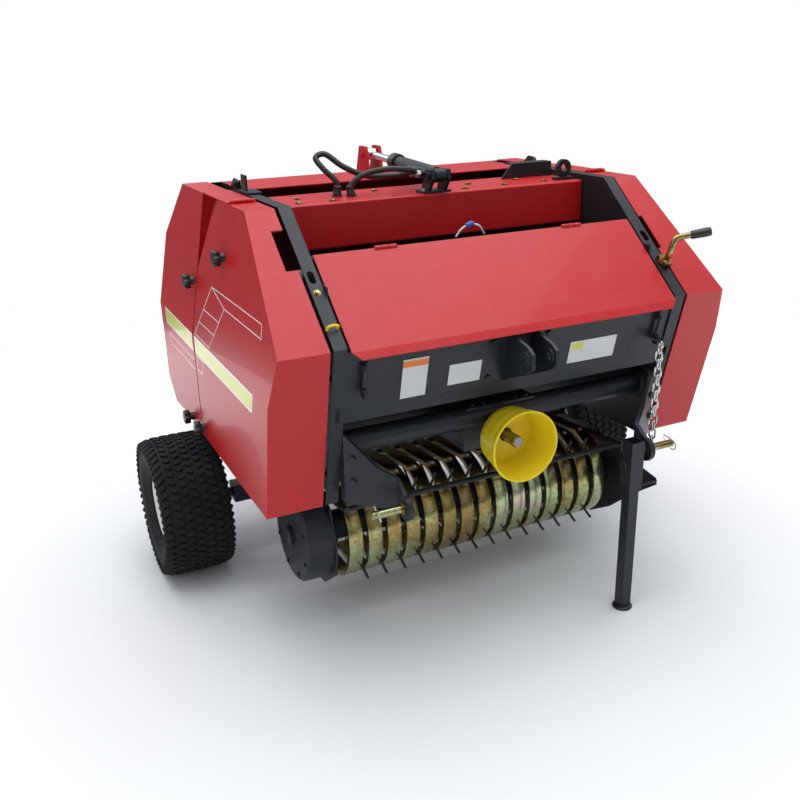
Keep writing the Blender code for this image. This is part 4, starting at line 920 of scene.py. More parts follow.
@dataclass
class Drive(Assembly):
    """Gearbox, splined shaft and yellow guard."""

    datum: Datum
    pattern: Pattern
    splines: int = 6

    def build(self) -> None:
        """Builds the drive."""
        self.keep("gearbox", "frame", Dress.CAST, 0.0040, 3)
        self.guard()
        self.shaft()

    def guard(self) -> None:
        """Cone with a rolled lip and moulding rings."""
        low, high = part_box("pto_guard")
        centre = (0, 0, (low.z + high.z) / 2)
        mouth = (high.x - low.x) / 2
        rear, depth, wall = mouth - 0.018, high.y - low.y, 0.004
        profile = [(mouth - 0.0045, low.y + 0.002), (mouth - 0.002, low.y), (mouth + 0.001, low.y + 0.0015),
                   (mouth + 0.0012, low.y + 0.006), (mouth - 0.001, low.y + 0.008)]
        for t in (0.30, 0.36, 0.42, 0.70, 0.76, 0.82):
            bulge = 0.0012 if t in (0.36, 0.76) else 0.0
            profile.append((mouth + (rear - mouth) * t + bulge, low.y + depth * t))
        profile += [(rear + 0.001, high.y - 0.006), (rear - 0.003, high.y), (0.0205, high.y),
                    (0.0205, high.y - wall),
                    (rear - wall - 0.003, high.y - wall), (rear - wall, high.y - wall - 0.005)]
        made = lathe("shaft_guard", profile, centre, Vector((0, 1, 0)), 96)
        put(soften(made, 0, angle=40), "frame", Dress.GUARD, ["pto_guard"])

    def shaft(self) -> None:
        """Stub with its splines, locking groove and chamfered end."""
        low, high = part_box("pto_shaft")
        radius = (high.x - low.x) / 2
        centre = Vector((0, 0, (low.z + high.z) / 2))
        steps = 8
        shape = bmesh.new()

        def ring(y: float, scale: float, root: float) -> list[bmesh.types.BMVert]:
            """One section of the shaft: lands at the full radius and grooves at the root."""
            verts = []
            for k in range(self.splines * steps):
                angle = TAU * k / (self.splines * steps)
                r = radius * (scale if k % steps < steps / 2 else min(scale, root))
                verts.append(shape.verts.new(centre + Vector((r * math.cos(angle), y, r * math.sin(angle)))))
            return verts

        sections = [(low.y, 0.86, 0.80), (low.y + 0.003, 1.0, 0.80), (low.y + 0.030, 1.0, 0.80),
                    (low.y + 0.031, 0.86, 0.80),
                    (low.y + 0.037, 0.86, 0.80), (low.y + 0.038, 1.0, 0.80), (low.y + 0.085, 1.0, 0.80),
                    (low.y + 0.088, 0.99, 0.99), (high.y, 0.99, 0.99)]
        rings = [ring(*section) for section in sections]
        for a, b in zip(rings, rings[1:]):
            for k in range(len(a)):
                j = (k + 1) % len(a)
                shape.faces.new((a[k], a[j], b[j], b[k]))
        shape.faces.new(rings[0])
        shape.faces.new(rings[-1][::-1])
        made = thing_of("splined_shaft", mesh_of(shape, "splined_shaft"))
        put(soften(made, 0.0006, angle=28), "pto", Dress.STEEL, ["pto_shaft"])


@dataclass
class TopGear(Assembly):
    """Beam across the top with the cylinder, its hoses, the lifting eye and the dark bracket."""

    datum: Datum
    pattern: Pattern
    hose_radius: float = 0.0085

    def build(self) -> None:
        """Builds what stands on the top."""
        self.keep("top_beam", "frame", Dress.RED, 0.0060, 4)
        self.keep("top_bracket", "frame", Dress.CHARCOAL, 0.0008)
        self.keep("cylinder_bracket", "frame", Dress.CHARCOAL, 0.0012)
        self.keep("lifting_eye", "frame", Dress.CHARCOAL, 0.0022, 3)
        self.keep("cylinder_barrel", "cylinder", Dress.CHARCOAL, 0.0012)
        self.keep("cylinder_rod", "rod", Dress.CHROME, 0.0012)
        self.beam_bolts()
        self.gland()
        self.hoses()

    def beam_bolts(self) -> None:
        """Rows of bolts on the beam's top and the bracket's foot."""
        low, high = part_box("top_beam")
        rows = [(-0.430, 0.035), (-0.405, 0.120), (-0.330, 0.030), (-0.150, 0.150), (0.100, 0.040),
                (0.155, 0.120),
                (0.240, 0.045), (0.330, 0.120), (0.385, 0.045)]
        places = [facing((x, low.y + dy, high.z - 0.0002), (0, 0, 1), spin=x * 9) for x, dy in rows]
        self.bolts("beam_bolts", places, "frame", Dress.YELLOW_ZINC, 0.0085, 0.006)
        foot_low, foot_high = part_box("cylinder_bracket")
        places = [facing((x, foot_low.y + 0.050, foot_low.z + 0.0058), (0, 0, 1))
                  for x in (foot_low.x + 0.010, foot_high.x - 0.010)]
        self.bolts("bracket_bolts", places, "frame", Dress.BRIGHT_ZINC, 0.0070, 0.006)

    def gland(self) -> None:
        """Gland nut and two zinc fittings on the cylinder."""
        low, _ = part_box("cylinder_barrel")
        rod_low, rod_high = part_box("cylinder_rod")
        middle = (rod_low.x + rod_high.x) / 2
        front = Vector((middle, low.y + 0.019, low.z + 0.019))
        back = Vector((middle, rod_high.y - 0.019, rod_high.z - 0.019))
        way = (back - front).normalized()
        at = front + way * 0.262
        profile = [(0.0215, 0.0), (0.0262, 0.0), (0.0268, 0.004), (0.0268, 0.034), (0.0250, 0.038),
                   (0.0135, 0.0385),
                   (0.0135, 0.030)]
        put(soften(lathe("gland_nut", profile, at, way, 24), 0), "cylinder", Dress.CHARCOAL)
        nuts, stems = [], []
        for distance in (0.049, 0.095):
            spot = front + way * distance
            stems.append(lathe("stem", [(0, -0.060), (0.0062, -0.060), (0.0062, -0.020), (0, -0.020)],
                               (spot.x, spot.y, spot.z), Vector((1, 0, 0)), 16))
            nuts.append(facing((low.x + 0.004, spot.y, spot.z), (-1, 0, 0)))
        put(soften(joined("port_stems", stems), 0), "cylinder", Dress.BRIGHT_ZINC)
        nut = lathe("nut", [(0, -0.001), (0.0125, -0.001), (0.0125, 0.010), (0.010, 0.012), (0, 0.012)],
                    (0, 0, 0),
                    Vector((0, 0, 1)), 6)
        self.pattern.lay("port_nuts", nut, nuts, "cylinder", Dress.BRIGHT_ZINC)

    def hoses(self) -> None:
        """Two hoses from the beam to the cylinder's ports, with crimped ends."""
        back, top = self.datum.back, self.datum.top
        routes = {
            "hose_left": [(-0.285, back(0.560), top + 0.0008), (-0.285, back(0.560), 1.250),
                          (-0.318, back(0.580), 1.290), (-0.330, back(0.600), 1.318),
                          (-0.300, back(0.600), 1.326),
                          (-0.255, back(0.575), 1.290), (-0.190, back(0.560), 1.262),
                          (-0.110, back(0.548), 1.258),
                          (-0.062, back(0.545), 1.262)],
            "hose_right": [(-0.250, back(0.540), top + 0.0012), (-0.250, back(0.540), 1.240),
                           (-0.215, back(0.530), 1.268), (-0.160, back(0.510), 1.282),
                           (-0.100, back(0.500), 1.280),
                           (-0.062, back(0.498), 1.272)],
        }
        for name, points in routes.items():
            path = rounded(points, 8)
            curve = bpy.data.curves.new(name + "_run", "CURVE")
            curve.dimensions, curve.bevel_depth, curve.bevel_resolution = "3D", self.hose_radius, 4
            curve.use_fill_caps = True
            line = curve.splines.new("POLY")
            line.points.add(len(path) - 1)
            for point, spot in zip(line.points, path):
                point.co = (*spot, 1.0)
            made = bpy.data.objects.new(name + "_run", curve)
            bpy.context.scene.collection.objects.link(made)
            put(made, "frame", Dress.HOSE, [name])
            ends = []
            for first, second in ((path[0], path[2]), (path[-1], path[-3])):
                way = (second - first).normalized()
                profile = [(0.0088, 0.002), (0.0118, 0.002), (0.0118, 0.010), (0.0108, 0.013),
                           (0.0118, 0.016),
                           (0.0108, 0.019), (0.0118, 0.022), (0.0108, 0.028), (0.0088, 0.030)]
                ends.append(lathe("crimp", profile, first, way, 24))
            crimps = put(soften(joined(name + "_crimps", ends), 0), "frame", Dress.KNOB)
        spots = [facing((route[0][0], route[0][1], top - 0.0002), (0, 0, 1)) for route in routes.values()]
        base = lathe("base", [(0.0090, 0.0), (0.0165, 0.0), (0.0165, 0.004), (0.0125, 0.0045),
                              (0.0125, 0.012),
                              (0.0090, 0.012)], (0, 0, 0), Vector((0, 0, 1)), 6)
        self.pattern.lay("hose_sockets", base, spots, "frame", Dress.KNOB)


@dataclass
class TwineStore(Assembly):
    """Twine box with its sloped lid, the lid's rail, the notched disc and what shows in the opening."""

    datum: Datum
    pattern: Pattern
    notches: int = 24

    def build(self) -> None:
        """Builds the twine box and what is by it."""
        self.keep("twine_box", "frame", Dress.CHARCOAL, 0.0008)
        self.keep("lid_rail", "frame", Dress.CHARCOAL, 0.0008)
        self.keep("front_lid", "lid", Dress.RED, 0.0013, 3)
        self.disc()
        self.knuckles()
        self.cable()

    def knuckles(self) -> None:
        """Red hinge knuckles over the lid's hinge, in three rings each."""
        _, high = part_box("front_lid")
        rings = []
        for centre in (-0.292, 0.292):
            for shift in (-0.0215, 0.0, 0.0215):
                profile = [(0.0045, -0.0098), (0.0066, -0.0098), (0.0070, -0.0088), (0.0070, 0.0088),
                           (0.0066, 0.0098),
                           (0.0045, 0.0098)]
                rings.append(lathe("knuckle", profile, (centre + shift, high.y - 0.005, high.z - 0.005),
                                   Vector((1, 0, 0)), 24))
        put(soften(joined("lid_knuckles", rings), 0), "lid", Dress.RED)

    def disc(self) -> None:
        """White disc with notches round its rim and a zinc nut at its centre."""
        low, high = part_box("twine_pulley")
        centre = Vector((0, (low.y + high.y) / 2, (low.z + high.z) / 2))
        radius = (high.z - low.z) / 2
        profile = [(0, low.x), (radius - 0.012, low.x), (radius - 0.009, low.x - 0.0015),
                   (radius - 0.002, low.x),
                   (radius + 0.0005, low.x + 0.004), (radius + 0.0005, low.x + 0.010),
                   (radius - 0.004, low.x + 0.0145),
                   (0.014, low.x + 0.0145), (0.0125, low.x + 0.020), (0.0125, high.x), (0, high.x)]
        disc = lathe("twine_disc", profile, (0, centre.y, centre.z), Vector((1, 0, 0)), 72)
        put(soften(disc, 0), "frame", Dress.WHITE, ["twine_pulley"])
        # Dark blocks round the rim, one at each notch: painted shade for the inside of the notches.
        notch_shades = [facing((low.x + 0.007, centre.y + radius * math.cos(a), centre.z + radius * math.sin(a)),
                        (0, math.cos(a), math.sin(a)),
                        up=(1, 0, 0)) for a in [TAU * k / self.notches for k in range(self.notches)]]
        tooth = block("tooth", (-0.0035, -0.0062, -0.003), (0.0035, 0.0062, 0.0028))
        self.pattern.lay("disc_teeth", tooth, notch_shades, "frame", Dress.CHARCOAL)
        self.bolts("disc_nut", [facing((low.x - 0.0002, centre.y, centre.z), (-1, 0, 0))], "frame",
                   Dress.BRIGHT_ZINC, 0.010)

    def cable(self) -> None:
        """Pale loop of cable with a blue plug, and a pale pad, behind the lid."""
        _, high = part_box("lid_rail")
        y, z = high.y - 0.004, high.z
        path = [(-0.060, y, z - 0.001), (-0.045, y - 0.002, z + 0.018), (-0.020, y - 0.004, z + 0.030),
                (0.010, y - 0.003, z + 0.024), (0.030, y, z - 0.001)]
        wire = pipe("sensor_wire", rounded(path, 7), 0.0028, 10)
        put(soften(wire, 0), "frame", Dress.CORD)
        plug = lathe("sensor_plug",
                     [(0, -0.012), (0.006, -0.012), (0.0075, -0.008), (0.0075, 0.008), (0.005, 0.013),
                                     (0, 0.013)], (-0.020, y - 0.004, z + 0.030), Vector((1, 0.1, 0.25)), 20)
        put(soften(plug, 0), "frame", Dress.BLUE)
        low_box, high_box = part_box("twine_box")
        pad = block("box_pad", (low_box.x + 0.030, low_box.y + 0.030, low_box.z + 0.0028),
                    (low_box.x + 0.210, high_box.y - 0.030, low_box.z + 0.012))
        put(soften(pad, 0.003, 3), "frame", Dress.GREEN)


@dataclass
class Covers(Assembly):
    """Hinged side covers, their flaps, knobs and stripes."""

    datum: Datum
    pattern: Pattern
    fold: float = 0.807
    band: tuple[float, float] = (0.750, 0.806)
    line: float = 0.0028
    front_knobs: tuple[tuple[float, float], ...] = ((0.500, 1.083), (0.730, 0.513))
    rear_knobs: tuple[tuple[float, float], ...] = ((0.800, 0.963), (0.880, 0.500))

    def build(self) -> None:
        """Builds both sides' covers."""
        for name, side in SIDES:
            front, rear = "front_door_" + name, "rear_door_" + name
            self.keep(front, front, Dress.RED, 0.0013, 3)
            self.keep(rear, rear, Dress.RED, 0.0013, 3)
            self.keep("top_flap_" + name, "flap_" + name, Dress.RED, 0.0010)
            self.knobs(front, side, self.front_knobs)
            self.knobs(rear, side, self.rear_knobs)
            self.stripes(front, rear, side)
            self.seam(front, side)
            self.fold_behind_seam(rear, side)

    def spot(self, skin: Skin, side: int, y: float, z: float) -> tuple[Vector, Vector]:
        """Point on a cover's outside, and the outward direction there."""
        return skin.hit((side * 2.0, self.datum.back(y), z), (-side, 0, 0))

    def knobs(self, body: str, side: int, places: Sequence[tuple[float, float]]) -> None:
        """Star knob on a collar at each closing point."""
        low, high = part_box(body)
        tip = max(abs(low.x), abs(high.x))
        reach = tip - 0.0320
        stars = []
        for y, z in places:
            x = reach - max(0.0, z - self.fold) * 0.180
            at = Vector((side * x, self.datum.back(y), z))
            collar = lathe("collar", [(0, 0.0), (0.013, 0.0), (0.0125, 0.004), (0.011, 0.0155), (0, 0.0155)],
                           at,
                           Vector((side, 0, 0)), 24)
            shape = bmesh.new()
            rings = []
            for depth, scale in ((0.0130, 0.90), (0.0150, 1.0), (0.0290, 1.0), (0.0325, 0.93),
                                 (0.0335, 0.70)):
                rings.append([shape.verts.new(at + Vector((side * depth, *(
                    (0.0208 + 0.0022 * math.cos(6 * a)) * scale * Vector((math.cos(a), math.sin(a)))))))
                    for a in [TAU * k / 72 for k in range(72)]])
            for a, b in zip(rings, rings[1:]):
                for k in range(72):
                    j = (k + 1) % 72
                    shape.faces.new((a[k], a[j], b[j], b[k]))
            shape.faces.new(rings[0])
            shape.faces.new(rings[-1])
            stars += [collar, thing_of("star", mesh_of(shape, "star"))]
        put(soften(joined(body + "_knobs", stars), 0, angle=50), body, Dress.KNOB)

    def film(self, name: str, body: str, skin: Skin, side: int, outline: Sequence[tuple[float, float]],
             lift: float,
             dress: Dress) -> None:
        """Lays a thin film on a cover.

        Args:
            name: The piece's name.
            body: The cover.
            skin: The cover's surface.
            side: -1 for left, 1 for right.
            outline: Corners as distance behind the bend and height.
            lift: Height of the film's face above the paint.
            dress: Its finish.
        """
        corners, outs = [], []
        for y, z in outline:
            point, out = self.spot(skin, side, y, z)
            corners.append(point)
            outs.append(out)
        out = sum(outs, Vector()).normalized()
        put(slab(name, [c + out * 0.00005 for c in corners], out * lift), body, dress)

    def stroke(self, a: tuple[float, float], b: tuple[float, float]) -> list[tuple[float, float]]:
        """Outline of a straight line of the stripes' width between two points."""
        run = (Vector(b) - Vector(a)).normalized()
        off = Vector((-run.y, run.x)) * self.line / 2
        start, end = Vector(a) - run * self.line / 2, Vector(b) + run * self.line / 2
        return [tuple(p) for p in (start - off, end - off, end + off, start + off)]

    def stripes(self, front: str, rear: str, side: int) -> None:
        """Yellow-green band with pale edges on both covers, and the thin outlines above and below it."""
        low, high = self.band
        edge = 0.006
        label = "left" if side < 0 else "right"
        skins = {front: Skin(front), rear: Skin(rear)}
        bands = {rear: ((0.778, low), (1.155, low), (1.155, high), (0.778, high)),
                 front: ((0.172, low), (0.748, low), (0.748, high), (0.150, high))}
        for body, outline in bands.items():
            self.film(f"{body}_band_edge", body, skins[body], side, outline, 0.0003, Dress.FILM)
            inner = [(outline[0][0] + edge, low + edge), (outline[1][0] - edge, low + edge),
                     (outline[2][0] - edge, high - edge), (outline[3][0] + edge, high - edge)]
            self.film(f"{body}_band", body, skins[body], side, inner, 0.0006, Dress.BAND)
        upper = [(0.597, 0.984), (0.134, 0.987), (0.126, 0.952), (0.456, 0.952)]
        strokes = list(zip(upper, upper[1:] + upper[:1]))
        rails = [((0.597, 0.984), (0.735, 0.822)), ((0.456, 0.952), (0.580, 0.806))]
        strokes += rails
        for z in (0.905, 0.860, 0.815):
            strokes.append(tuple((a[0] + (b[0] - a[0]) * (a[1] - z) / (a[1] - b[1]), z) for a, b in rails))
        for k, (a, b) in enumerate(strokes):
            self.film(f"outline_{label}_{k}", front, skins[front], side, self.stroke(a, b), 0.0003,
                      Dress.FILM)
        tail = [(0.655, 0.745), (0.735, 0.745), (0.745, 0.700), (0.690, 0.700)]
        for k, (a, b) in enumerate(zip(tail, tail[1:] + tail[:1])):
            self.film(f"tail_{label}_{k}", front, skins[front], side, self.stroke(a, b), 0.0003, Dress.FILM)
        under = [(0.785, 0.720), (1.130, 0.720), (1.095, 0.690), (0.785, 0.690)]
        for k, (a, b) in enumerate(zip(under, under[1:])):
            self.film(f"under_{label}_{k}", rear, skins[rear], side, self.stroke(a, b), 0.0003, Dress.FILM)

    def fold_behind_seam(self, body: str, side: int) -> None:
        """Return fold along the upper front edge of a rear cover."""
        low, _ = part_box(body)
        skin = Skin(body)
        inner, foot, head = 0.553, self.fold + 0.045, self.fold + 0.411
        y = low.y + 0.006
        outer = [(abs(skin.hit((side * 2.0, low.y + 0.004, z), (-side, 0, 0))[0].x) - 0.0025, z)
                 for z in (foot, head)]
        corners = [Vector((side * x, y, z)) for x, z in [(inner, foot), *outer, (inner, head)]]
        put(slab(body + "_fold", corners, Vector((0, 0.0015, 0))), body, Dress.RED)

    def seam(self, body: str, side: int) -> None:
        """Hinge knuckles on the flap's joint."""
        low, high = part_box("top_flap_left" if side < 0 else "top_flap_right")
        rings = []
        for x in (0.5660, 0.5830, 0.6000):
            profile = [(0.0040, -0.0072), (0.0060, -0.0072), (0.0064, -0.0060), (0.0064, 0.0060),
                       (0.0060, 0.0072),
                       (0.0040, 0.0072)]
            rings.append(lathe("knuckle", profile, (side * x, low.y + 0.0045, high.z - 0.0045),
                               Vector((1, 0, 0)), 20))
        put(soften(joined(body + "_flap_knuckles", rings), 0), body, Dress.RED)


@dataclass
class Tailgate(Assembly):
    """Rear half: side plates, wrapped sheet, and the bale rollers of both halves."""

    datum: Datum
    pattern: Pattern
    ribs: int = 8
    rib: float = 0.0032

    def build(self) -> None:
        """Builds the tailgate and the rollers."""
        for name, side in SIDES:
            self.keep("tailgate_side_" + name, "tailgate", Dress.CHARCOAL, 0.0010)
            self.bolts(f"tailgate_hinge_bolt_{name}", [self.hinge_end(side)], "tailgate", Dress.CHARCOAL,
                       0.0085)
        self.keep("tailgate_panel", "tailgate", Dress.RED, 0.0010, 3)
        for place, count in (("frame", 4), ("tailgate", 6)):
            for number in range(1, count + 1):
                self.roller(f"{place}_roller_{number}")
        self.rear_ribs()

    def hinge_end(self, side: int) -> Matrix:
        """Place of the nut on the end of a hinge pin."""
        _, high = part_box("tailgate_side_right")
        low_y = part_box("tailgate_side_right")[0].y
        return facing((side * 0.5236, low_y + 0.0125, high.z - 0.0125), (side, 0, 0))

    def roller(self, node: str) -> None:
        """Ribbed roller: a tube with raised ribs along it and turned shaft ends."""
        low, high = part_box(node)
        centre = (0.0, (low.y + high.y) / 2, (low.z + high.z) / 2)
        radius = (high.z - low.z) / 2 - self.rib
        half = high.x - 0.006
        profile = [(0, -high.x), (0.0138, -high.x), (0.0138, -half - 0.0008),
                   (radius - 0.004, -half - 0.0008),
                   (radius, -half + 0.003), (radius, half - 0.003), (radius - 0.004, half + 0.0008),
                   (0.0138, half + 0.0008), (0.0138, high.x), (0, high.x)]
        tube = lathe(node + "_tube", profile, centre, Vector((1, 0, 0)), 48)
        put(soften(tube, 0), node, Dress.STEEL, [node])
        places = [facing((0, centre[1] + radius * math.cos(a), centre[2] + radius * math.sin(a)),
                         (0, math.cos(a), math.sin(a)),
                         up=(1, 0, 0)) for a in [TAU * k / self.ribs for k in range(self.ribs)]]
        bar = slab("bar", [Vector((-0.005, -half + 0.012, -0.001)), Vector((0.005, -half + 0.012, -0.001)),
                           Vector((0.0028, -half + 0.012, self.rib - 0.0002)),
                           Vector((-0.0028, -half + 0.012, self.rib - 0.0002))],
                   Vector((0, 2 * half - 0.024, 0)))
        self.pattern.lay(node + "_ribs", bar, places, node, Dress.STEEL)

    def rear_ribs(self) -> None:
        """A row of rivets down each side of the tailgate's sheet."""
        skin = Skin("tailgate_panel")
        rivets = []
        _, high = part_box("tailgate_panel")
        for side in (-1, 1):
            for k in range(9):
                z = high.z - 0.30 - 0.045 * k
                point, out = skin.hit((side * (high.x - 0.014), 3.0, z), (0, -1, 0))
                rivets.append(facing(point, out))
        head = lathe("rivet", [(0, -0.0005), (0.0062, -0.0005), (0.0056, 0.0014), (0.0034, 0.0026),
                               (0, 0.003)],
                     (0, 0, 0), Vector((0, 0, 1)), 14)
        self.pattern.lay("tailgate_rivets", head, rivets, "tailgate", Dress.RED, angle=60)


@dataclass
class Wheels(Assembly):
    """Turf tyres with block tread on white rims."""

    datum: Datum
    pattern: Pattern
    pitch: int = 54
    tread: float = 0.0095
    nuts: int = 5

    def build(self) -> None:
        """Builds both wheels."""
        for name, side in SIDES:
            self.tyre(name)
            self.blocks(name)
            self.rim(name, side)

    def shape(self, name: str) -> tuple[Vector, float, float]:
        """Centre, radius and half width of a tyre."""
        low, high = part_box("tyre_" + name)
        return (low + high) / 2, (high.z - low.z) / 2, (high.x - low.x) / 2

    def tyre(self, name: str) -> None:
        """Carcass with rounded shoulders, sidewall rings and beads."""
        centre, radius, half = self.shape(name)
        base = radius - self.tread
        bead = 0.1133
        side_wall = [(bead, 0.74), (bead + 0.006, 0.80), (bead + 0.012, 0.815), (bead + 0.026, 0.885),
                     (bead + 0.040, 0.94),
                     (bead + 0.043, 0.958), (bead + 0.049, 0.960), (bead + 0.052, 0.952),
                     (bead + 0.068, 0.985),
                     (base - 0.024, 0.985), (base - 0.012, 0.930), (base - 0.004, 0.850), (base, 0.760)]
        crown = [(base + 0.0015, 0.45), (base + 0.002, 0.15)]
        profile = [(r, -half * w) for r, w in side_wall + crown] + [(r, half * w)
                                                                    for r, w in (side_wall + crown)[::-1]]
        made = lathe(f"tyre_carcass_{name}", profile, centre, Vector((1, 0, 0)), 120)
        put(soften(made, 0, angle=50), "wheel_" + name, Dress.TYRE, ["tyre_" + name])

    def blocks(self, name: str) -> None:
        """Rows of tread blocks, slanted in turn, with longer ones on the shoulders."""
        centre, radius, half = self.shape(name)
        base = radius - self.tread
        rows = [(-0.86, -0.0060, 1.35, 0.55), (-0.56, -0.0006, 1.0, -0.42), (-0.28, 0.0, 1.0, 0.42),
                (0.0, 0.0003, 1.0, -0.42),
                (0.28, 0.0, 1.0, 0.42), (0.56, -0.0006, 1.0, -0.42), (0.86, -0.0060, 1.35, 0.55)]
        places = []
        for number, (across, drop, longer, slant) in enumerate(rows):
            for k in range(self.pitch):
                angle = TAU * (k + 0.5 * (number % 2)) / self.pitch
                ring = Vector((0, math.cos(angle), math.sin(angle)))
                tilt = Vector((0.42 * across if abs(across) > 0.8 else 0.0, 0, 0))
                at = Vector((centre.x + across * half, centre.y, centre.z)) + ring * (base + drop - 0.002)
                places.append(facing(at, ring + tilt, up=(1, 0, 0), spin=slant, size=(1, longer, 1)))
        shape = bmesh.new()
        rings = []
        height = self.tread + 0.0012
        for z, grow in ((0.0, 1.10), (height - 0.0016, 1.0), (height, 0.86)):
            rings.append([shape.verts.new((x * grow, y * grow, z)) for x, y in
                          ((-0.0085, -0.0090), (-0.0015, -0.0118), (0.0085, -0.0090), (0.0085, 0.0090),
                           (0.0015, 0.0118),
                           (-0.0085, 0.0090))])
        for a, b in zip(rings, rings[1:]):
            for k in range(6):
                shape.faces.new((a[k], a[(k + 1) % 6], b[(k + 1) % 6], b[k]))
        shape.faces.new(rings[-1])
        shape.faces.new(rings[0][::-1])
        block_shape = thing_of("block", mesh_of(shape, "block"))
        self.pattern.lay(f"tyre_tread_{name}", block_shape, places, "wheel_" + name, Dress.TYRE)
        studs = []
        for side in (-1, 1):
            for k in range(self.pitch):
                angle = TAU * (k + 0.25) / self.pitch
                ring = Vector((0, math.cos(angle), math.sin(angle)))
                at = Vector((centre.x + side * half * 0.972, centre.y, centre.z)) + ring * (base - 0.018)
                studs.append(facing(at, Vector((side, 0, 0)) + ring * 0.28, up=ring))
        stud = block("stud", (-0.0048, -0.0115, -0.004), (0.0048, 0.0115, 0.0030))
        self.pattern.lay(f"tyre_shoulder_{name}", stud, studs, "wheel_" + name, Dress.TYRE)

    def rim(self, name: str, side: int) -> None:
        """White rim with its flanges, dished disc, nuts and hub cap."""
        centre, _, _ = self.shape(name)
        low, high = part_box("rim_" + name)
        radius, half = (high.z - low.z) / 2, (high.x - low.x) / 2
        disc = 0.030
        hub = 0.034
        profile = [(0.0172, disc - 0.034), (hub, disc - 0.034), (hub + 0.001, disc - 0.008),
                   (hub + 0.010, disc - 0.005),
                   (0.072, disc - 0.010), (radius - 0.030, disc - 0.012), (radius - 0.020, disc - 0.018),
                   (radius - 0.019, -half + 0.014), (radius - 0.016, -half + 0.006),
                   (radius - 0.006, -half + 0.003),
                   (radius - 0.004, -half), (radius, -half + 0.001), (radius + 0.0001, -half + 0.010),
                   (radius + 0.0001, half - 0.010), (radius, half - 0.001), (radius - 0.004, half),
                   (radius - 0.006, half - 0.003), (radius - 0.016, half - 0.006),
                   (radius - 0.019, half - 0.014),
                   (radius - 0.020, disc - 0.004), (radius - 0.030, disc), (0.072, disc + 0.003),
                   (hub + 0.010, disc + 0.004),
                   (hub + 0.001, disc + 0.006), (hub, disc + 0.030), (0.0172, disc + 0.030)]
        made = lathe(f"rim_shell_{name}", profile, centre, Vector((side, 0, 0)), 96)
        put(soften(made, 0, angle=40), "wheel_" + name, Dress.WHITE, ["rim_" + name])
        x = centre.x + side * (disc + 0.0032)
        nuts = [facing((x, centre.y + 0.054 * math.cos(a), centre.z + 0.054 * math.sin(a)), (side, 0, 0))
                for a in [TAU * k / self.nuts for k in range(self.nuts)]]
        self.bolts(f"wheel_nuts_{name}", nuts, "wheel_" + name, Dress.BRIGHT_ZINC, 0.0092, 0.011)
        cap = lathe(f"hub_cap_{name}",
                    [(0, 0.0), (0.0335, 0.0), (0.0330, 0.004), (0.0290, 0.009), (0.0210, 0.012), (0, 0.013)],
                    (centre.x + side * (disc + 0.0300), centre.y, centre.z), Vector((side, 0, 0)), 40)
        put(soften(cap, 0, angle=50), "wheel_" + name, Dress.CHARCOAL)
        valve = lathe(f"valve_{name}",
                      [(0, 0.0), (0.0045, 0.0), (0.0040, 0.016), (0.0030, 0.020), (0, 0.021)],
                      (centre.x + side * 0.018, centre.y + 0.083, centre.z + 0.030), Vector((side, 0, 0)), 14)
        put(soften(valve, 0), "wheel_" + name, Dress.KNOB)


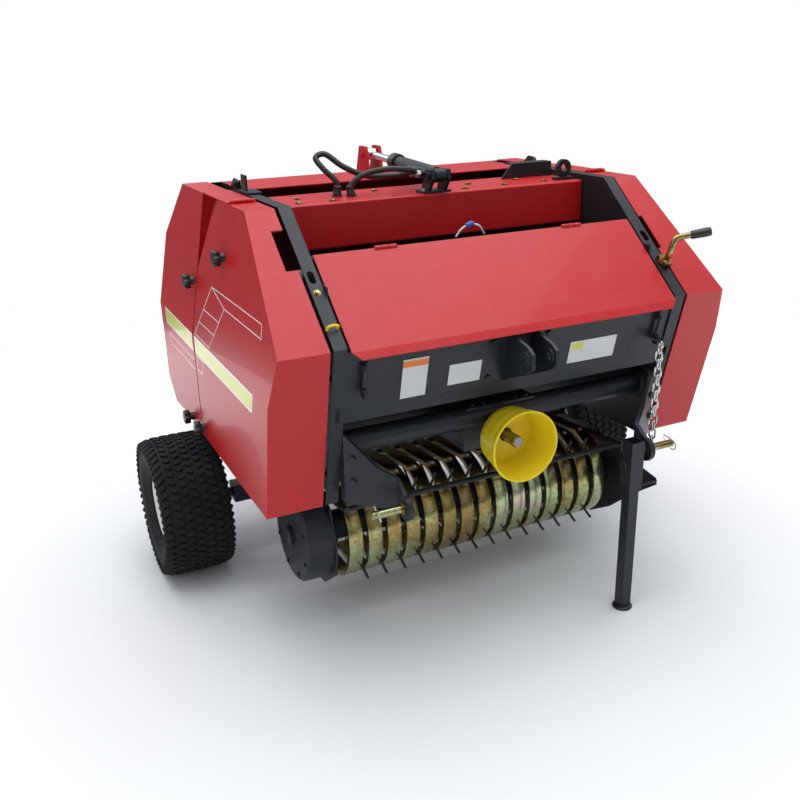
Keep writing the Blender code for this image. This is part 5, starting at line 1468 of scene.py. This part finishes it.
@dataclass
class Pickup(Assembly):
    """Plated bands, reel with tines, end plates, wind guard and chain."""

    datum: Datum
    pattern: Pattern
    bands: int = 15
    pitch: float = 0.0605
    width: float = 0.042
    wall: float = 0.0022
    steps: int = 30

    def build(self) -> None:
        """Builds the pickup."""
        self.keep("pickup_side_left", "pickup", Dress.CHARCOAL, 0.0018, 3)
        self.keep("pickup_side_right", "pickup", Dress.CHARCOAL, 0.0014)
        self.keep("wind_guard", "pickup", Dress.CHARCOAL, 0.0008)
        self.strips()
        self.reel()
        self.case_bolts()

    def axle(self) -> Vector:
        """Centre of the reel."""
        low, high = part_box("pickup_reel")
        return Vector((0, (low.y + high.y) / 2, (low.z + high.z) / 2))

    def strips(self) -> None:
        """Bands of folded sheet round the front, bolted to a bar at each end."""
        low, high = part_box("pickup_strips")
        axle = self.axle()
        radius = 0.150
        outer: list[tuple[float, float]] = [(high.y - axle.y, high.z - axle.z - 0.0185)]
        for k in range(self.steps + 1):
            angle = math.radians(98 + (270 - 98) * k / self.steps)
            outer.append((radius * math.cos(angle), radius * math.sin(angle)))
        outer.append((0.143, -radius + 0.0008))
        outer[0] = (0.173, 0.1335)
        half, depth = self.width / 2, 0.013
        section = [(-half, 0.0), (-half + 0.003, 0.0015), (half - 0.003, 0.0015), (half, 0.0), (half, -depth),
                   (half - self.wall, -depth), (half - self.wall, -self.wall),
                   (-half + self.wall, -self.wall),
                   (-half + self.wall, -depth), (-half, -depth)]
        shape = bmesh.new()
        rings = []
        for k, (y, z) in enumerate(outer):
            ahead = Vector(outer[min(k + 1, len(outer) - 1)]) - Vector(outer[max(k - 1, 0)])
            ahead.normalize()
            out = Vector((ahead.y, -ahead.x))
            if out.dot(Vector((y, z))) < 0:
                out = -out
            rings.append([shape.verts.new((x, y + out.x * h, z + out.y * h)) for x, h in section])
        for a, b in zip(rings, rings[1:]):
            for k in range(len(a)):
                j = (k + 1) % len(a)
                shape.faces.new((a[k], a[j], b[j], b[k]))
        shape.faces.new(rings[0])
        shape.faces.new(rings[-1][::-1])
        band = thing_of("band", mesh_of(shape, "band"))
        places = [Matrix.Translation(Vector(((k - (self.bands - 1) / 2) * self.pitch, axle.y, axle.z)))
                  for k in range(self.bands)]
        self.pattern.lay("pickup_bands", band, places, "pickup", Dress.YELLOW_ZINC, nodes=["pickup_strips"],
                         angle=32)
        bars = []
        for y, z in ((0.1655, 0.1275), (0.1355, -radius - 0.004)):
            bars.append(block("bar", (low.x + 0.0002, axle.y + y - 0.0075, axle.z + z - 0.005),
                              (high.x - 0.0002, axle.y + y + 0.0075, axle.z + z + 0.005)))
        put(soften(joined("band_bars", bars), 0.001), "pickup", Dress.CHARCOAL)
        heads = []
        for k in range(self.bands):
            x = (k - (self.bands - 1) / 2) * self.pitch
            angle = math.radians(104)
            out = Vector((0, math.cos(angle), math.sin(angle)))
            heads.append(facing(Vector((x, axle.y, axle.z)) + out * (radius + 0.0012), out))
            heads.append(facing((x, axle.y + 0.120, axle.z - radius + 0.0012 - 0.002), (0, 0, -1)))
        self.bolts("band_bolts", heads, "pickup", Dress.BRIGHT_ZINC, 0.0055, 0.0045)

    def reel(self) -> None:
        """Shaft and drum, and double spring tines with their coils."""
        low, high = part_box("pickup_reel")
        axle = self.axle()
        core, shaft = 0.0446, 0.0148
        profile = [(0, low.x), (shaft, low.x), (shaft, low.x + 0.024), (core - 0.003, low.x + 0.024),
                   (core, low.x + 0.027),
                   (core, high.x - 0.027), (core - 0.003, high.x - 0.024), (shaft, high.x - 0.024),
                   (shaft, high.x), (0, high.x)]
        drum = lathe("reel_drum", profile, axle, Vector((1, 0, 0)), 48)
        put(soften(drum, 0), "reel", Dress.CHARCOAL, ["pickup_reel"])
        wires = []
        for turn in range(4):
            angle = math.radians(40 + 90 * turn)
            out = Vector((0, math.cos(angle), math.sin(angle)))
            side = Vector((0, -out.z, out.y))
            for x in (-0.0020, 0.0020):
                shift = Vector((x, 0, 0))
                path = [out * 0.042, out * 0.080 + side * 0.001 + shift * 0.4,
                        out * 0.130 - side * 0.001 + shift,
                        out * 0.165 - side * 0.005 + shift, out * 0.1895 - side * 0.0120 + shift]
                wires.append(pipe("wire", rounded(path, 3), 0.0024, 7))
            bends = [(0.0030, -0.0055), (0.0085, -0.0055), (0.0095, -0.0030), (0.0085, 0.0), (0.0095, 0.0030),
                     (0.0085, 0.0055), (0.0030, 0.0055)]
            wires.append(lathe("coil", bends, out * 0.048, Vector((1, 0, 0)), 12))
        tine = joined("tine", wires)
        places = [Matrix.Translation(Vector(((k - (self.bands - 2) / 2) * self.pitch, axle.y, axle.z)))
                  for k in range(self.bands - 1)]
        self.pattern.lay("spring_tines", tine, places, "reel", Dress.DARK_STEEL, angle=60)

    def case_bolts(self) -> None:
        """Bolts round the left chain case and the right bearing."""
        axle = self.axle()
        left_low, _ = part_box("pickup_side_left")
        _, right_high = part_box("pickup_side_right")
        places = [facing((-0.5660, axle.y + 0.118 * math.cos(a), axle.z + 0.118 * math.sin(a)), (-1, 0, 0))
                  for a in [TAU * (k + 0.5) / 8 for k in range(8)]]
        self.bolts("case_bolts", places, "pickup", Dress.CHARCOAL, 0.0060, 0.005)
        cap = lathe("case_cap", [(0, 0.0), (0.026, 0.0), (0.026, 0.003), (0.018, 0.006), (0, 0.007)],
                    (left_low.x + 0.0003, axle.y, axle.z), Vector((-1, 0, 0)), 36)
        put(soften(cap, 0.0004), "pickup", Dress.CHARCOAL)
        places = [facing((right_high.x, axle.y + 0.026 * math.cos(a), axle.z + 0.026 * math.sin(a)),
                         (1, 0, 0))
                  for a in [TAU * (k + 0.5) / 4 for k in range(4)]]
        self.bolts("bearing_bolts", places, "pickup", Dress.BRIGHT_ZINC, 0.0045, 0.004)


@dataclass
class Front(Assembly):
    """Parking stand, chain and crank handle."""

    datum: Datum
    pattern: Pattern
    links: int = 15

    def build(self) -> None:
        """Builds the stand, chain and crank."""
        self.keep("stand_sleeve", "frame", Dress.CHARCOAL, 0.0020, 3)
        self.leg()
        self.chain()
        self.crank()

    def leg(self) -> None:
        """Square leg with pin holes, standing on its dished foot, with black discs in the holes as painted shade.
        """
        low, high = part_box("stand_leg")
        centre = (low + high) / 2
        half = 0.017
        tube = block("tube", (centre.x - half, centre.y - half, low.z + 0.005),
                     (centre.x + half, centre.y + half, high.z))
        foot = lathe("foot", [(0, low.z), (0.0285, low.z), (0.0300, low.z + 0.0015), (0.0300, low.z + 0.005),
                              (0.0270, low.z + 0.008), (0.0200, low.z + 0.0095), (0, low.z + 0.010)],
                     (centre.x, centre.y, 0), Vector((0, 0, 1)), 48)
        put(soften(joined("stand_tube", [tube, foot]), 0.0030, 3, angle=40), "stand", Dress.CHARCOAL,
            ["stand_leg"])
        holes = [facing((centre.x + side * (half + 0.0001), centre.y, z), (side, 0, 0)) for side in (-1, 1)
                 for z in (0.240, 0.300, 0.360)]
        # Black disc with a thin lip at each pin hole, in the black plastic finish: painted shade for the dark
        # inside of the hole.
        eye = lathe("eyelet", [(0, 0.0), (0.0052, 0.0), (0.0052, 0.0003), (0.0075, 0.0003), (0.0075, 0.0009),
                               (0.0050, 0.0009),
                               (0.0048, 0.0001), (0, 0.0001)], (0, 0, 0), Vector((0, 0, 1)), 20)
        self.pattern.lay("stand_eyelets", eye, holes, "stand", Dress.KNOB)
        _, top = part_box("stand_sleeve")
        pin = pipe("stand_pin", [Vector((centre.x - 0.034, centre.y, top.z - 0.060)),
                                 Vector((centre.x + 0.030, centre.y, top.z - 0.060))], 0.0048, 16)
        ring = [Vector((centre.x - 0.034, centre.y + 0.013 * math.cos(a),
                        top.z - 0.072 + 0.013 * math.sin(a)))
                for a in [TAU * k / 22 + 1.6 for k in range(22)]]
        put(soften(joined("stand_lock_pin", [pin, pipe("ring", ring, 0.0014, 8)]), 0), "frame",
            Dress.CHARCOAL)

    def chain(self) -> None:
        """Parking chain: links turned in alternation, on a hook at the top."""
        low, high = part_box("chain")
        x = (low.x + high.x) / 2
        top = Vector((x, low.y + 0.010, high.z - 0.014))
        end = Vector((x, low.y + 0.014, low.z + 0.010))
        run = end - top
        spots = []
        for k in range(self.links):
            t = (k + 0.5) / self.links
            sway = Vector((0.0012 * math.sin(9 * t), 0.0010 * math.cos(7 * t), 0))
            spots.append(facing(top + run * t + sway, (math.cos(0.5), math.sin(0.5), 0) if k % 2 else
                                (-math.sin(0.5), math.cos(0.5), 0), up=(0, 0, 1)))
        length, gap, wire = run.length / self.links + 0.0105, 0.0090, 0.0031
        straight = length / 2 - gap - wire / 2
        loop = [Vector((gap * math.cos(a), (straight if math.sin(a) >= 0 else -straight) + gap * math.sin(a),
                        0))
                for a in [TAU * (k + 0.5) / 14 for k in range(14)]]
        shape = bmesh.new()
        rings = []
        over = Vector((0, 0, wire))
        for k, point in enumerate(loop):
            ahead = (loop[(k + 1) % 14] - loop[k - 1]).normalized()
            side = ahead.cross(Vector((0, 0, 1)))
            rings.append([shape.verts.new(point + side * wire * math.cos(a) + over * math.sin(a))
                          for a in [TAU * s / 6 for s in range(6)]])
        for k in range(14):
            a, b = rings[k], rings[(k + 1) % 14]
            for s in range(6):
                t = (s + 1) % 6
                shape.faces.new((a[s], a[t], b[t], b[s]))
        link = thing_of("link", mesh_of(shape, "link"))
        self.pattern.lay("parking_chain", link, spots, "frame", Dress.BRIGHT_ZINC, nodes=["chain"], angle=60)
        back = high.y - 0.0005
        hook = rounded([(x, back, high.z - 0.006), (x, low.y + 0.014, high.z - 0.005),
                        (x, low.y + 0.003, high.z - 0.010),
                        (x, low.y + 0.002, high.z - 0.020), (x, low.y + 0.012, high.z - 0.024)], 5)
        put(soften(pipe("chain_hook", hook, 0.0042, 12), 0), "frame", Dress.BRIGHT_ZINC)

    def crank(self) -> None:
        """Yoke, bent arm and black grip."""
        foot = Vector((0.523, self.datum.back(0.090), 0.9349 + 0.090 * 0.834))
        up = Vector((0, -0.64, 0.77)).normalized()
        knee = foot + Vector((0.010, -0.030, 0.075))
        grip = knee + Vector((0.045, -0.035, 0.012))
        tip = grip + Vector((0.034, -0.025, 0.009))
        profile = [(0, 0.0012), (0.0160, 0.0012), (0.0165, 0.004), (0.0165, 0.012), (0.0120, 0.018),
                   (0.0110, 0.024), (0, 0.0245)]
        yoke = lathe("yoke", profile, foot, up, 36)
        cheeks = block("cheeks", (-0.019, -0.014, 0.0012), (0.019, 0.014, 0.0165))
        cheeks.data.transform(facing(foot, up, up=(1, 0, 0)))
        path = rounded([foot + up * 0.012, foot + up * 0.040, knee - Vector((0.004, 0.002, 0.012)),
                        knee + Vector((0.008, -0.006, 0.002)),
                        grip], 6)
        arm = pipe("arm", path, 0.0085, 16)
        put(soften(joined("crank_arm", [yoke, cheeks, arm]), 0, angle=45), "frame", Dress.YELLOW_ZINC,
            ["crank_handle"])
        way = (tip - grip).normalized()
        size = (tip - grip).length
        profile = [(0, -0.014), (0.0100, -0.014), (0.0118, -0.011), (0.0126, size * 0.25),
                   (0.0132, size * 0.65),
                   (0.0124, size * 0.92), (0.0090, size - 0.0005), (0, size)]
        put(soften(lathe("crank_grip", profile, grip, way, 32), 0, angle=50), "frame", Dress.KNOB)


# ------------------------------------------------------------------ studio
@dataclass
class Studio:
    """Floor, soft lights and the camera."""

    place: tuple[float, float, float] = (-1.2695, -2.4760, 1.5731)
    turn: float = -25.3157
    tilt: float = 20.5436
    roll: float = -1.43
    lens_pixels: float = 905.6
    frame_pixels: float = 800.0
    zenith: float = 0.95
    horizon: float = 0.16
    floor_edge: float = 3.4
    floor_fade: float = 1.2
    floor_white: float = 3.1
    shell: float = 38.0

    def build(self) -> None:
        """Sets the stage."""
        scene = bpy.context.scene
        scene.view_settings.view_transform = "Standard"
        scene.view_settings.exposure = 0.0
        self.floor()
        self.lights()
        self.camera()
        self.dome()
        scene.world = self.room()

    def room(self) -> bpy.types.World:
        """World that is bright overhead and dim at the horizon.

        Returns:
            The world.
        """
        world = bpy.data.worlds.new("soft room")
        world.use_nodes = True
        graph = Graph(world.node_tree)
        background = world.node_tree.nodes["Background"]
        background.inputs[0].default_value = (0.84, 0.91, 1.0, 1.0)
        parts = graph.add("ShaderNodeSeparateXYZ")
        graph.join(graph.add("ShaderNodeTexCoord").outputs["Generated"], parts.inputs[0])
        rise = graph.add("ShaderNodeMapRange",
                         {"From Min": 0.05, "From Max": 0.95, "To Min": self.horizon, "To Max": self.zenith})
        graph.join(parts.outputs["Z"], rise.inputs["Value"])
        graph.join(rise.outputs[0], background.inputs[1])
        return world

    def dome(self) -> None:
        """White shell far round the stage, seen by the camera only."""
        shape = bmesh.new()
        bmesh.ops.create_icosphere(shape, subdivisions=3, radius=self.shell)
        shell = thing_of("backdrop", mesh_of(shape, "backdrop"))
        made = bpy.data.materials.new("white backdrop")
        made.use_nodes = True
        graph = Graph(made.node_tree)
        glow = graph.add("ShaderNodeEmission")
        glow.inputs["Color"].default_value = (1.0, 1.0, 1.0, 1.0)
        out = next(node for node in graph.tree.nodes if node.type == "OUTPUT_MATERIAL")
        graph.join(glow.outputs[0], out.inputs["Surface"])
        shell.data.materials.append(made)
        shell.visible_diffuse = shell.visible_glossy = shell.visible_transmission = shell.visible_shadow = False

    def floor(self) -> None:
        """Plain pale floor."""
        shape = bmesh.new()
        bmesh.ops.create_circle(shape, cap_ends=True, segments=96, radius=self.floor_edge)
        floor = thing_of("floor", mesh_of(shape, "floor"))
        if floor.data.polygons[0].normal.z < 0:
            floor.data.flip_normals()
        made = bpy.data.materials.new("pale floor")
        made.use_nodes = True
        surface = made.node_tree.nodes["Principled BSDF"]
        surface.inputs["Base Color"].default_value = (0.86, 0.86, 0.86, 1.0)
        surface.inputs["Roughness"].default_value = 0.85
        graph = Graph(made.node_tree)
        away = graph.add("ShaderNodeVectorMath", operation="LENGTH")
        graph.join(graph.add("ShaderNodeTexCoord").outputs["Object"], away.inputs[0])
        fade = graph.add("ShaderNodeMapRange", {"From Min": self.floor_fade, "From Max": self.floor_white},
                         interpolation_type="SMOOTHSTEP")
        graph.join(away.outputs["Value"], fade.inputs["Value"])
        surface.inputs["Emission Color"].default_value = (1.0, 1.0, 1.0, 1.0)
        graph.join(fade.outputs[0], surface.inputs["Emission Strength"])
        floor.data.materials.append(made)

    def lights(self) -> None:
        """Wide soft lights above, in front and at the sides."""
        spots = (("overhead", (0.1, 0.1, 4.4), (0, 0, 0.4), 4.6, 150.0),
                 ("front left", (-4.8, -2.2, 2.6), (0, -0.2, 0.6), 2.8, 26.0),
                 ("front", (1.6, -5.0, 2.2), (0, 0, 0.6), 3.0, 12.0),
                 ("right", (4.6, 1.0, 2.8), (0, 0, 0.7), 3.0, 20.0),
                 ("behind", (-1.0, 4.6, 3.0), (0, 0, 0.8), 3.0, 32.0))
        for name, place, aim, size, power in spots:
            light = bpy.data.lights.new(name, "AREA")
            light.shape, light.size, light.energy = "SQUARE", size, power
            lamp = bpy.data.objects.new(name, light)
            bpy.context.scene.collection.objects.link(lamp)
            lamp.location = place
            lamp.rotation_euler = (Vector(aim) - Vector(place)).to_track_quat("-Z", "Y").to_euler()

    def camera(self) -> None:
        """Camera in front and to the left, looking down on the machine."""
        camera = bpy.data.cameras.new("camera")
        camera.sensor_width = 36.0
        camera.lens = self.lens_pixels / self.frame_pixels * camera.sensor_width
        made = bpy.data.objects.new("camera", camera)
        bpy.context.scene.collection.objects.link(made)
        turn, tilt = math.radians(self.turn), math.radians(self.tilt)
        forward = Vector((-math.sin(turn) * math.cos(tilt), math.cos(turn) * math.cos(tilt), -math.sin(tilt)))
        look = forward.to_track_quat("-Z", "Y").to_matrix().to_4x4()
        aimed = Matrix.Translation(self.place) @ look
        made.matrix_world = aimed @ Matrix.Rotation(math.radians(self.roll), 4, "Z")
        bpy.context.scene.camera = made


def main() -> None:
    """Builds the machine and its stage."""
    datum, pattern = Datum.read(), Pattern()
    for assembly in (Chassis, Drive, TopGear, TwineStore, Covers, Tailgate, Wheels, Pickup, Front):
        assembly(datum, pattern).build()
    Studio().build()


if __name__ == "__main__":
    logging.basicConfig(level=logging.INFO, format="%(message)s")
    bpy.ops.wm.read_factory_settings(use_empty=True)
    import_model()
    main()
